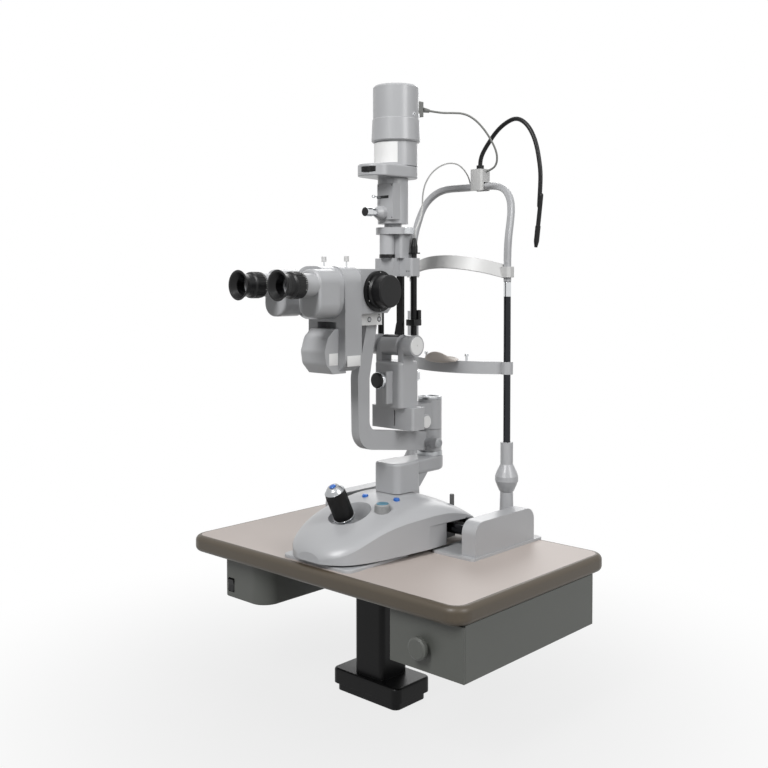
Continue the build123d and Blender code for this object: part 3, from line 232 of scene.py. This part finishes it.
AIM = (0, 0, 0.5)
panel_light("key_panel", (0.4, -2.2, 2.5), AIM, 0.7, 1.5, 62)
panel_light("side_panel", (2.6, 0.0, 1.9), AIM, 1.0, 1.6, 40)
panel_light("rear_panel", (-1.6, 2.4, 1.8), AIM, 1.6, 1.6, 20)
panel_light("top_panel", (0.2, 0.1, 3.0), AIM, 1.4, 1.4, 3)

# %% [markdown]
# Finishes
# Every slot of the record gets its own procedural finish. Stove enamel on castings has a
# faint orange peel and a slight change of gloss, so a noise in object space drives a small
# bump and the roughness. A bevel node rounds the light along machined edges, which the eye
# reads as a real, thickly painted casting.

# %% Enamel, plastic, cable jacket and metal
EDGE_RADIUS = 0.0007
BROAD_SCALE = 14.0
BUMP_DEPTH = 0.0004


def surface(name, colour, rough, grain=900, bump=0.04, mottle=0.03, metal=0.0, coat=0.0,
            edge=EDGE_RADIUS, gloss_change=0.06, mirror=0.5):
    """One finish: a mottled colour, a grain that moves the gloss, and rounded edges."""
    finish = Finish(name)
    place = finish.node("ShaderNodeTexCoord", output=3)
    noise = finish.node("ShaderNodeTexNoise", {}, {"Vector": place, "Scale": grain, "Detail": 3.0})
    broad = finish.node(
        "ShaderNodeTexNoise", {}, {"Vector": place, "Scale": BROAD_SCALE, "Detail": 2.0}
    )
    shade = [channel * (1 - mottle) for channel in colour[:3]] + [1]
    light = [min(1, channel * (1 + mottle)) for channel in colour[:3]] + [1]
    mixed = finish.node(
        "ShaderNodeMix", {"data_type": "RGBA"}, {0: broad, 6: shade, 7: light}, output=2
    )
    rounded = finish.node("ShaderNodeBevel", {"samples": 4}, {"Radius": edge})
    normal = finish.node(
        "ShaderNodeBump", {},
        {"Strength": bump, "Distance": BUMP_DEPTH, "Height": noise, "Normal": rounded},
    )
    finish.set(Base_Color=mixed, Roughness=noise * gloss_change + (rough - gloss_change / 2))
    finish.set(Metallic=metal, Normal=normal, Coat_Weight=coat, Specular_IOR_Level=mirror)
    return finish.material


finishes = {
    "light_enamel": surface("light_enamel", tone(177, 178, 180), 0.30),
    "white_enamel": surface("white_enamel", tone(206, 206, 205), 0.36),
    "label_white": surface("label_white", tone(240, 240, 239), 0.36, bump=0.0),
    "foot_enamel": surface("foot_enamel", tone(152, 153, 153), 0.42),
    "black_enamel": surface("black_enamel", tone(10, 10, 11), 0.36, bump=0.08, mirror=0.18),
    "dark_enamel": surface("dark_enamel", tone(84, 84, 84), 0.40),
    # The case enamel is the drawer's own olive-grey paint, made darker still as painted shade for
    # the table's shadow over the drawer and the power box.
    "case_enamel": surface("case_enamel", tone(92, 94, 90), 0.50, bump=0.15),
    "laminate": surface("laminate", tone(184, 174, 168), 0.50, grain=2600, bump=0.06, mottle=0.02),
    "edge_plastic": surface("edge_plastic", tone(78, 69, 56), 0.42, bump=0.05),
    "black_plastic": surface(
        "black_plastic", tone(11, 11, 12), 0.36, grain=2200, bump=0.10, mirror=0.3,
    ),
    "blue_plastic": surface("blue_plastic", tone(24, 100, 190), 0.30, bump=0.02, coat=0.4),
    "teal_plastic": surface("teal_plastic", tone(48, 122, 148), 0.34, bump=0.02, coat=0.2),
    "chrome": surface("chrome", tone(214, 216, 218), 0.12, bump=0.0, metal=1.0, gloss_change=0.04),
    "black_chrome": surface("black_chrome", tone(52, 53, 56), 0.14, bump=0.0, metal=1.0),
    "steel": surface("steel", tone(168, 170, 172), 0.32, grain=1500, bump=0.03, metal=1.0),
    "grey_cable": surface("grey_cable", tone(132, 133, 130), 0.55, bump=0.05),
    "white_cable": surface("white_cable", tone(206, 206, 204), 0.50, bump=0.05),
    "chin_plastic": surface("chin_plastic", tone(206, 198, 190), 0.50, bump=0.06),
}


def optical_glass():
    """Coated glass, green-grey and clear, with a sharp reflection."""
    finish = Finish("glass")
    finish.set(
        Base_Color=tone(170, 196, 188), Roughness=0.04, Transmission_Weight=0.8, IOR=1.5,
    )
    return finish.material


finishes["glass"] = optical_glass()

for row in frame["record"]["subparts"]:
    piece = nodes[row["node"]]
    piece.data.materials.clear()
    piece.data.materials.append(finishes[row["material_slot"]])
print("finishes:", len(finishes))

# %% [markdown]
# Two-tone castings
# Several machined pieces carry more than one finish on the real instrument: black struts in a
# grey tower, a white slide block under a grey housing, bright pins in a painted head. The
# pieces stay as they are, and only the faces of such an area take another finish.

# %% Other finishes for some faces
def finish_faces(node, slot, chosen):
    """Give the faces whose middle, in millimetres, passes the test another finish."""
    mesh = nodes[node].data
    mesh.materials.append(finishes[slot])
    count = 0
    for face in mesh.polygons:
        if chosen(*(value / MM for value in face.center)):
            face.material_index = len(mesh.materials) - 1
            count += 1
    print(node, "faces in", slot, count)


def from_line(first, second, middle):
    """Distance of a point from a line, both seen along the line."""
    return ((first - middle[0]) ** 2 + (second - middle[1]) ** 2) ** 0.5


STICK_LEAN = 26.2
STICK_FOOT = (0, -69, 275)
STICK_RUN = (0, -sin(radians(STICK_LEAN)), cos(radians(STICK_LEAN)))
GRIP_TOP = 77.9
DRUM_LINE = (-47, 651)
DRUM_RIM, DRUM_SEAT = 33, 38.1
PILLAR = (105, 197)
PILLAR_NECK, PILLAR_REACH = 396.1, 6.3
BRIDGE_LOW = 673.9
SLIDE_TOP = 616.9
PIN_LOW, PIN_HEAD, PIN_TOP = 689.2, 695.9, 696.9
BOX_TOP = 860.2
CHIN_BAR_TOP, CHIN_PIN_REACH = 531.5, 60
PLUG_BACK, PLUG_TOP = 73.2, 961


def along_stick(x, y, z):
    """Height of a point along the joystick's own line, above the ball's middle."""
    return (Vector((x, y, z)) - Vector(STICK_FOOT)).dot(Vector(STICK_RUN))


nodes["tower_frame"].data.materials[0] = finishes["light_enamel"]
finish_faces(
    "tower_frame", "black_enamel", lambda x, y, z: abs(x) > 29 and 580 < z < BRIDGE_LOW
)
finish_faces(
    "tower_frame", "black_enamel", lambda x, y, z: abs(x) < 9 and 576 < z < BRIDGE_LOW
)
finish_faces("microscope_body", "label_white", lambda x, y, z: z < SLIDE_TOP)
finish_faces(
    "microscope_body", "black_plastic",
    lambda x, y, z: abs(x) > DRUM_SEAT and from_line(y, z, DRUM_LINE) < DRUM_RIM,
)
finish_faces("binocular_head", "chrome", lambda x, y, z: PIN_LOW < z < PIN_TOP)
finish_faces("binocular_head", "white_enamel", lambda x, y, z: z > PIN_HEAD)
finish_faces("junction_box", "black_plastic", lambda x, y, z: z > BOX_TOP)
finish_faces(
    "chin_bar", "chrome", lambda x, y, z: z > CHIN_BAR_TOP and abs(x) < CHIN_PIN_REACH
)
for side, low_slot in (("right", "black_chrome"), ("left", "chrome")):
    finish_faces(
        f"headrest_post_{side}", low_slot,
        lambda x, y, z: z > PILLAR_NECK and from_line(abs(x), y, PILLAR) < PILLAR_REACH,
    )
finish_faces("lamp_cap", "grey_cable", lambda x, y, z: y > PLUG_BACK and z < PLUG_TOP)
finish_faces("joystick_grip", "steel", lambda x, y, z: along_stick(x, y, z) > GRIP_TOP)
for plain in ("scope_lock", "lamp_lock", "slide_plate"):
    nodes[plain].data.materials[0] = finishes["light_enamel"]
nodes["light_dial"].data.materials[0] = finishes["foot_enamel"]
nodes["column_foot"].data.materials[0] = finishes["black_enamel"]
# Painted shade: the power box is given the darker case enamel for the table's shadow that falls on
# it.
nodes["power_box"].data.materials[0] = finishes["case_enamel"]
for bar in ("cross_axle", "guide_bar"):
    nodes[bar].data.materials[0] = finishes["black_chrome"]

# %% [markdown]
# Small turned and boxed fittings
# Rings, caps and labels are too fine for the machined model, but they catch the light. A ring
# is a profile turned about its own line, as on a lathe. Each is built straight at its place,
# so its object stays at the origin.


def finished_piece(name, mesh, slot, body):
    """Make an object of a mesh, with its finish, riding on a body of the machine."""
    mesh.materials.clear()
    mesh.materials.append(finishes[slot])
    piece = bpy.data.objects.new(name, mesh)
    bpy.context.collection.objects.link(piece)
    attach(piece, body)
    return piece


def place_on(origin, direction):
    """A matrix that puts local +Z along direction at origin, from millimetres to metres."""
    turn = Vector((0, 0, 1)).rotation_difference(Vector(direction)).to_matrix().to_4x4()
    return Matrix.Scale(MM, 4) @ Matrix.Translation(origin) @ turn


def turned_piece(name, origin, direction, outline, slot, body, arc=(0, 360), segments=64):
    """Turn a closed outline of (radius, height) points about a line, fully or over an arc."""
    full = arc[1] - arc[0] >= 360
    work = bmesh.new()
    steps = segments if full else segments + 1
    rings = []
    for step in range(steps):
        angle = radians(arc[0] + (arc[1] - arc[0]) * step / segments)
        rings.append([
            work.verts.new((radius * cos(angle), radius * sin(angle), height))
            for radius, height in outline
        ])
    count = len(outline)
    for step in range(segments):
        here, there = rings[step], rings[(step + 1) % steps]
        for corner in range(count):
            after = (corner + 1) % count
            if outline[corner][0] or outline[after][0]:
                work.faces.new((here[corner], here[after], there[after], there[corner]))
    if not full:
        work.faces.new(rings[0])
        work.faces.new(rings[-1])
    bmesh.ops.remove_doubles(work, verts=work.verts, dist=1e-6)
    bmesh.ops.recalc_face_normals(work, faces=work.faces)
    bmesh.ops.transform(work, matrix=place_on(origin, direction), verts=work.verts)
    mesh = bpy.data.meshes.new(name)
    work.to_mesh(mesh)
    work.free()
    mesh.shade_smooth()
    mesh.set_sharp_from_angle(angle=radians(35))
    return finished_piece(name, mesh, slot, body)


def boxed_piece(name, x_span, y_span, z_span, slot, body, round_edge=0.3):
    """A small block between limits, in millimetres, with rounded edges."""
    work = bmesh.new()
    bmesh.ops.create_cube(work, size=1)
    for corner in work.verts:
        for axis, span in enumerate((x_span, y_span, z_span)):
            corner.co[axis] = span[0] if corner.co[axis] < 0 else span[1]
    bmesh.ops.bevel(
        work, geom=work.edges, offset=round_edge, segments=2, affect="EDGES", profile=0.5
    )
    bmesh.ops.transform(work, matrix=Matrix.Scale(MM, 4), verts=work.verts)
    mesh = bpy.data.meshes.new(name)
    work.to_mesh(mesh)
    work.free()
    mesh.shade_smooth()
    mesh.set_sharp_from_angle(angle=radians(50))
    return finished_piece(name, mesh, slot, body)


def band_outline(inner, outer, low, high, soft=0.3):
    """The outline of a plain ring with softened outer corners."""
    return [
        (inner, low), (outer - soft, low), (outer, low + soft), (outer, high - soft),
        (outer - soft, high), (inner, high),
    ]


def cap_outline(radius, low, high, soft=0.4):
    """The outline of a plain disc with a softened rim."""
    return [(0, low), (radius, low), (radius, high - soft), (radius - soft, high), (0, high)]

# %% [markdown]
# The chin cup
# The cup is a moulded scoop whose wall rises in an arch on the examiner's side and dips
# towards the patient. A cross-section of six points is carried along the bar, its height
# follows a parabola, and two rounds of subdivision make the moulded curve.

# %% Mould the cup
CUP_HALF, CUP_MIDDLE, CUP_STATIONS = 33, 153, 17
cup_points, cup_faces = [], []
for station in range(CUP_STATIONS):
    along = -1 + 2 * station / (CUP_STATIONS - 1)
    arch = 1 - along ** 2
    for y, z in (
        (136, 532.5 + 14.5 * arch), (137.5, 531 - 3.5 * arch), (146, 530.5 - 3.5 * arch),
        (152, 532.6), (161, 532.6), (168, 533 + 4 * arch),
    ):
        narrow = CUP_MIDDLE + (y - CUP_MIDDLE) * (0.3 + 0.7 * arch ** 0.5)
        cup_points.append((CUP_HALF * along, narrow, z))
for station in range(CUP_STATIONS - 1):
    for row in range(5):
        first = station * 6 + row
        cup_faces.append((first, first + 1, first + 7, first + 6))
cup_mesh = bpy.data.meshes.new("moulded_cup")
cup_mesh.from_pydata(cup_points, [], cup_faces)
cup_mesh.transform(Matrix.Scale(MM, 4))
cup_mesh.shade_smooth()
moulded_cup = finished_piece("moulded_cup", cup_mesh, "chin_plastic", "chin_rest")
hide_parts("chin_cup")
cup_wall = moulded_cup.modifiers.new("wall", "SOLIDIFY")
cup_wall.thickness, cup_wall.offset = 1.8 * MM, 0
cup_curve = moulded_cup.modifiers.new("curve", "SUBSURF")
cup_curve.levels = cup_curve.render_levels = 2
print("cup stations:", CUP_STATIONS)

# %% [markdown]
# Rings, caps and blank labels
# The bright parts of the instrument are its knob rings, the knurled stops and the stretches of
# bare pillar. The label places carry plain white plates, which is all that can be said of
# them.

# %% Fit the rings, caps and plates
UP, FRONT, RIGHT = (0, 0, 1), (0, -1, 0), (1, 0, 0)
DIAL_X, DIAL_Y, DIAL_TOP = 43, -42, 322
SLIT_KNOB_Z = 508
LENGTH_KNOB = (0, -23.5, 775)
CAP_MIDDLE = (0, 36, 0)
IRIS_X, IRIS_Z = 25, 746.5
BARREL_MIDDLE = (0, 15, 0)
TILT_Y, TILT_Z = 33, 563
TILT_END = {1: 48, -1: -45}
SIDE_NAME = {1: "right", -1: "left"}
LAMP_LOCK_END = (38, 69, 437)
turned_piece("grip_ring", STICK_FOOT, STICK_RUN, band_outline(9, 16.3, 26.6, 31), "chrome", "grip")
turned_piece(
    "dial_cap", (DIAL_X, DIAL_Y, DIAL_TOP), UP, cap_outline(9.6, -0.2, 0.9), "teal_plastic",
    "dial",
)
turned_piece(
    "slit_knob_ring", (0, 0, SLIT_KNOB_Z), FRONT, band_outline(11, 12.9, 1, 7), "chrome",
    "slit_width",
)
turned_piece(
    "length_knob_cap", LENGTH_KNOB, FRONT, cap_outline(6.9, 11.8, 12.6), "black_plastic",
    "slit_length",
)
turned_piece(
    "iris_ring", (IRIS_X, CAP_MIDDLE[1], IRIS_Z), UP, band_outline(6, 9.7, -4.9, 4.9), "chrome",
    "tower",
)
turned_piece(
    "barrel_ring", BARREL_MIDDLE, UP, band_outline(11, 12.5, 703.2, 709), "black_plastic", "tower"
)
turned_piece(
    "pillar_bright", (*PILLAR, 0), UP, band_outline(5.9, 6.25, 640, 664.4), "chrome", "root"
)
for side, name in SIDE_NAME.items():
    turned_piece(
        f"tilt_cap_{name}", (TILT_END[side], TILT_Y, TILT_Z), (side, 0, 0),
        [(0, -0.2), (14.5, -0.2), (14.5, 0.5), (14, 0.9), (1.6, 0.9), (1.4, 0.2), (0, 0.2)],
        "label_white", "tower",
    )
turned_piece(
    "lamp_lock_plate", LAMP_LOCK_END, RIGHT, cap_outline(10, -0.2, 0.8), "label_white",
    "lamp_knob",
)
turned_piece("slit_lever", (-2, 3.5, 800), (-0.13, -1, 0.02), [
    (0, 0), (0.9, 0), (0.9, 13), (1.6, 13.4), (2.4, 14.6), (2.6, 16), (2.4, 17.4), (1.6, 18.6),
    (0, 19),
], "chrome", "tower", segments=32)
turned_piece(
    "neck_plate", CAP_MIDDLE, UP, band_outline(34.9, 35.25, 854, 887, 0.1), "label_white",
    "tower", arc=(-137, -43),
)
boxed_piece("strip_plate", (39.9, 40.3), (-115, -87), (539, 555), "label_white", "scope", 0.1)
boxed_piece("module_plate", (25.9, 26.3), (-139, -121), (541, 559), "label_white", "scope", 0.1)
# Painted shade: a flat black plate on the housing stands for the shaded opening of the lever's
# slot.
boxed_piece(
    "lever_slot_shade", (-11.5, 13.5), (3.2, 4.2), (798.2, 802.2), "black_plastic", "tower", 0.1
)
boxed_piece("strut_clamp", (27, 45), (30, 48), (595, 605), "black_plastic", "tower", 1)
turned_piece("clamp_pin", (41, 46, 0), UP, cap_outline(3.6, 598, 620), "black_plastic", "tower")
print("rings and caps fitted")

# %% [markdown]
# Knurls, marks and screws by Geometry Nodes
# A knurl is one rib, repeated around a knob, and a scale is one mark, repeated over part of a
# circle. Both are the same rule, so one node tree makes them all: it lays points on a circle
# and puts a small block on each. A second tree sets a socket screw on every point of a mesh,
# turned to the direction that the point carries. The results are made plain meshes.

# %% The tree for ribs and marks
def new_tree(name, sockets):
    """A node tree with a mesh input and output and these named inputs."""
    tree = bpy.data.node_groups.new(name, "GeometryNodeTree")
    tree.interface.new_socket("Geometry", in_out="INPUT", socket_type="NodeSocketGeometry")
    for label, kind in sockets:
        tree.interface.new_socket(label, in_out="INPUT", socket_type=kind)
    tree.interface.new_socket("Geometry", in_out="OUTPUT", socket_type="NodeSocketGeometry")
    return tree, tree.nodes.new("NodeGroupInput"), tree.nodes.new("NodeGroupOutput")


def join(tree, *pairs):
    """Link each (output, input) pair of sockets."""
    for source, target in pairs:
        tree.links.new(source, target)


def result_mesh(tree, start, values):
    """Run the tree on a mesh with these inputs and return the plain result."""
    holder = bpy.data.objects.new("holder", start)
    bpy.context.collection.objects.link(holder)
    modifier = holder.modifiers.new("nodes", "NODES")
    modifier.node_group = tree
    for item in tree.interface.items_tree:
        if item.in_out == "INPUT" and item.name in values:
            modifier[item.identifier] = values[item.name]
    graph = bpy.context.evaluated_depsgraph_get()
    mesh = bpy.data.meshes.new_from_object(holder.evaluated_get(graph), depsgraph=graph)
    holder.modifiers.remove(modifier)
    bpy.data.objects.remove(holder)
    return mesh


rib_tree, rib_in, rib_out = new_tree("ribs_around", [
    ("Count", "NodeSocketInt"), ("Step", "NodeSocketFloat"), ("Start", "NodeSocketFloat"),
    ("Radius", "NodeSocketFloat"), ("Rib", "NodeSocketVector"), ("Finish", "NodeSocketMaterial"),
])
rib_line = rib_tree.nodes.new("GeometryNodeMeshLine")
rib_index = rib_tree.nodes.new("GeometryNodeInputIndex")
rib_angle = rib_tree.nodes.new("ShaderNodeMath")
rib_angle.operation = "MULTIPLY_ADD"
rib_turn = rib_tree.nodes.new("ShaderNodeCombineXYZ")
rib_reach = rib_tree.nodes.new("ShaderNodeCombineXYZ")
rib_place = rib_tree.nodes.new("ShaderNodeVectorRotate")
rib_place.rotation_type = "EULER_XYZ"
rib_set = rib_tree.nodes.new("GeometryNodeSetPosition")
rib_block = rib_tree.nodes.new("GeometryNodeMeshCube")
rib_copy = rib_tree.nodes.new("GeometryNodeInstanceOnPoints")
rib_real = rib_tree.nodes.new("GeometryNodeRealizeInstances")
rib_paint = rib_tree.nodes.new("GeometryNodeSetMaterial")
join(
    rib_tree,
    (rib_in.outputs["Count"], rib_line.inputs["Count"]),
    (rib_index.outputs[0], rib_angle.inputs[0]),
    (rib_in.outputs["Step"], rib_angle.inputs[1]),
    (rib_in.outputs["Start"], rib_angle.inputs[2]),
    (rib_angle.outputs[0], rib_turn.inputs["Z"]),
    (rib_in.outputs["Radius"], rib_reach.inputs["X"]),
    (rib_reach.outputs[0], rib_place.inputs["Vector"]),
    (rib_turn.outputs[0], rib_place.inputs["Rotation"]),
    (rib_line.outputs[0], rib_set.inputs["Geometry"]),
    (rib_place.outputs[0], rib_set.inputs["Position"]),
    (rib_in.outputs["Rib"], rib_block.inputs["Size"]),
    (rib_set.outputs[0], rib_copy.inputs["Points"]),
    (rib_block.outputs[0], rib_copy.inputs["Instance"]),
    (rib_turn.outputs[0], rib_copy.inputs["Rotation"]),
    (rib_copy.outputs[0], rib_real.inputs[0]),
    (rib_real.outputs[0], rib_paint.inputs["Geometry"]),
    (rib_in.outputs["Finish"], rib_paint.inputs["Material"]),
    (rib_paint.outputs[0], rib_out.inputs[0]),
)


def ribs(name, origin, direction, radius, rib, slot, body, count, start=0, step=None):
    """Ribs or marks of size (deep, wide, long) about a line. Angles are in degrees."""
    mesh = result_mesh(rib_tree, bpy.data.meshes.new("empty"), {
        "Count": count, "Step": radians(step if step else 360 / count), "Start": radians(start),
        "Radius": float(radius), "Rib": tuple(float(value) for value in rib),
        "Finish": finishes[slot],
    })
    mesh.transform(place_on(origin, direction))
    return finished_piece(name, mesh, slot, body)

# %% Knurls and marks
FILTER_WHEEL = (4, -23.5, 841)
GRIP_MIDDLE = 53
EYE_HALF, EYE_Z = 43, 661
ribs(
    "slit_knob_knurl", (0, -4, SLIT_KNOB_Z), FRONT, 12.9, (0.7, 0.8, 5), "chrome", "slit_width", 40
)
ribs(
    "iris_knurl", (IRIS_X, CAP_MIDDLE[1], IRIS_Z), UP, 9.7, (0.7, 0.7, 8), "chrome", "tower", 36
)
ribs("nut_knurl", (-PILLAR[0], PILLAR[1], 494), UP, 12, (0.6, 0.9, 11), "chrome", "height_nut", 32)
ribs(
    "dial_knurl", (DIAL_X, DIAL_Y, DIAL_TOP - 7), UP, 12, (0.7, 0.9, 9), "foot_enamel", "dial", 32
)
ribs("filter_knurl", FILTER_WHEEL, UP, 17, (0.8, 1.2, 7), "black_plastic", "filter", 40)
grip_middle = Vector(STICK_FOOT) + Vector(STICK_RUN) * GRIP_MIDDLE
ribs("grip_knurl", grip_middle, STICK_RUN, 15.8, (0.9, 1.3, 40), "black_plastic", "grip", 36)
for side, name in SIDE_NAME.items():
    ribs(
        f"focus_knurl_{name}", (side * EYE_HALF, -222, EYE_Z), FRONT, 19, (0.8, 1.4, 12),
        "black_plastic", f"{name}_focus", 30,
    )
    ribs(
        f"focus_marks_{name}", (side * EYE_HALF, -215.4, EYE_Z), FRONT, 19, (0.3, 0.7, 2.6),
        "white_enamel", f"{name}_focus", 11, start=-20, step=9,
    )
    ribs(
        f"power_dots_{name}", (side * 44, *DRUM_LINE), (side, 0, 0), 28.9, (1.5, 1.5, 0.5),
        "white_enamel", "scope", 6,
    )
print("ribs and marks made")

# %% The tree for socket screws
screw_tree, screw_in, screw_out = new_tree("socket_screws", [
    ("Radius", "NodeSocketFloat"), ("Height", "NodeSocketFloat"), ("Socket", "NodeSocketFloat"),
    ("Finish", "NodeSocketMaterial"),
])
screw_head = screw_tree.nodes.new("GeometryNodeMeshCylinder")
screw_head.inputs["Vertices"].default_value = 32
screw_key = screw_tree.nodes.new("GeometryNodeMeshCylinder")
screw_key.inputs["Vertices"].default_value = 6
screw_lift = screw_tree.nodes.new("ShaderNodeCombineXYZ")
screw_raise = screw_tree.nodes.new("GeometryNodeTransform")
screw_cut = screw_tree.nodes.new("GeometryNodeMeshBoolean")
screw_facing = screw_tree.nodes.new("GeometryNodeInputNamedAttribute")
screw_facing.data_type = "FLOAT_VECTOR"
screw_facing.inputs["Name"].default_value = "facing"
screw_turn = screw_tree.nodes.new("FunctionNodeAlignRotationToVector")
screw_turn.axis = "Z"
screw_copy = screw_tree.nodes.new("GeometryNodeInstanceOnPoints")
screw_real = screw_tree.nodes.new("GeometryNodeRealizeInstances")
screw_paint = screw_tree.nodes.new("GeometryNodeSetMaterial")
join(
    screw_tree,
    (screw_in.outputs["Radius"], screw_head.inputs["Radius"]),
    (screw_in.outputs["Height"], screw_head.inputs["Depth"]),
    (screw_in.outputs["Socket"], screw_key.inputs["Radius"]),
    (screw_in.outputs["Height"], screw_key.inputs["Depth"]),
    (screw_in.outputs["Height"], screw_lift.inputs["Z"]),
    (screw_key.outputs[0], screw_raise.inputs["Geometry"]),
    (screw_lift.outputs[0], screw_raise.inputs["Translation"]),
    (screw_head.outputs[0], screw_cut.inputs[0]),
    (screw_raise.outputs[0], screw_cut.inputs[1]),
    (screw_in.outputs["Geometry"], screw_copy.inputs["Points"]),
    (screw_cut.outputs[0], screw_copy.inputs["Instance"]),
    (screw_facing.outputs[0], screw_turn.inputs["Vector"]),
    (screw_turn.outputs[0], screw_copy.inputs["Rotation"]),
    (screw_copy.outputs[0], screw_real.inputs[0]),
    (screw_real.outputs[0], screw_paint.inputs["Geometry"]),
    (screw_in.outputs["Finish"], screw_paint.inputs["Material"]),
    (screw_paint.outputs[0], screw_out.inputs[0]),
)


def screws(name, places, radius, height, slot, body):
    """Socket screws at (point, direction) places, in millimetres, their heads half sunk."""
    start = bpy.data.meshes.new("screw_places")
    start.from_pydata([place for place, _ in places], [], [])
    facing = start.attributes.new("facing", "FLOAT_VECTOR", "POINT")
    for entry, (_, direction) in zip(facing.data, places):
        entry.vector = direction
    mesh = result_mesh(screw_tree, start, {
        "Radius": float(radius), "Height": float(height), "Socket": radius * 0.5,
        "Finish": finishes[slot],
    })
    mesh.transform(Matrix.Scale(MM, 4))
    return finished_piece(name, mesh, slot, body)


# %% Fit the screws
def round_the_cap(angle, radius, height):
    """A place on the lamp cap and the direction outwards, at an angle in degrees."""
    out = (cos(radians(angle)), sin(radians(angle)), 0)
    return (radius * out[0], CAP_MIDDLE[1] + radius * out[1], height), out


SLIDE_SIDE = 20
SLIDE_SCREWS = [((SLIDE_SIDE, y, 607), RIGHT) for y in (-47, -25)]
screws("slide_screw_rims", SLIDE_SCREWS, 4.2, 0.6, "black_plastic", "scope")
screws("slide_screws", SLIDE_SCREWS, 2.9, 1.3, "steel", "scope")
screws("slide_pin", [((SLIDE_SIDE, -25, 614), RIGHT)], 1.4, 0.6, "black_plastic", "scope")
screws(
    "cap_screws", [round_the_cap(angle, 37.2, 932) for angle in (3, 33)], 3, 1.2, "chrome", "tower"
)
screws(
    "bridge_screws", [((x, 28, 682), FRONT) for x in (31, 35.5)], 1, 0.5, "black_plastic",
    "tower",
)
screws(
    "panel_screws", [((x, 4, z), FRONT) for x in (-8.5, 20.5) for z in (767, 818)],
    1, 0.4, "black_plastic", "tower",
)
screws("scope_lock_socket", [((35, 105, 397), RIGHT)], 6, 1, "steel", "scope_knob")
print("screws fitted")

# %% [markdown]
# The two cables
# Each cable is one smooth curve along the route of its machined tube, with the thickness as
# the curve's own bevel. A short spline of order three stays close to the few points that the
# route needs, so it bends like a real jacket and has no kinks.

# %% Cables
def cable(name, route, diameter, slot, node):
    """A round cable along a smooth curve through the route, in millimetres."""
    data = bpy.data.curves.new(name, "CURVE")
    data.dimensions = "3D"
    data.bevel_depth = diameter / 2 * MM
    data.bevel_resolution = 5
    data.resolution_u = 10
    data.use_fill_caps = True
    spline = data.splines.new("NURBS")
    spline.points.add(len(route) - 1)
    for point, place in zip(spline.points, route):
        point.co = [value * MM for value in place] + [1]
    spline.order_u = 3
    spline.use_endpoint_u = True
    piece = bpy.data.objects.new(name, data)
    bpy.context.collection.objects.link(piece)
    data.materials.append(finishes[slot])
    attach(piece, "root")
    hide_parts(node)
    return piece


LAMP_ROUTE = [
    (8, 108.3, 948), (10, 120, 948), (16, 134, 947), (25, 150, 948), (36, 166, 948),
    (46, 182, 940), (55, 198, 923), (61, 212, 903), (63, 223, 885), (59, 229, 869),
    (49, 231, 859), (34.4, 231, 856),
]
TOWER_ROUTE = [
    (31, 46, 735.3), (31, 47, 746), (32, 60, 765), (24, 74, 787), (12, 88, 808), (4, 104, 829),
    (1, 124, 848), (1, 146, 861), (2, 169, 868), (2, 192, 868), (1, 211, 860), (0, 223, 850),
    (-1, 229, 842), (-1, 231, 837),
]
cable("lamp_lead", LAMP_ROUTE, 3.5, "grey_cable", "lamp_cable")
cable("tower_lead", TOWER_ROUTE, 2.5, "white_cable", "tower_cable")
print("cables laid")
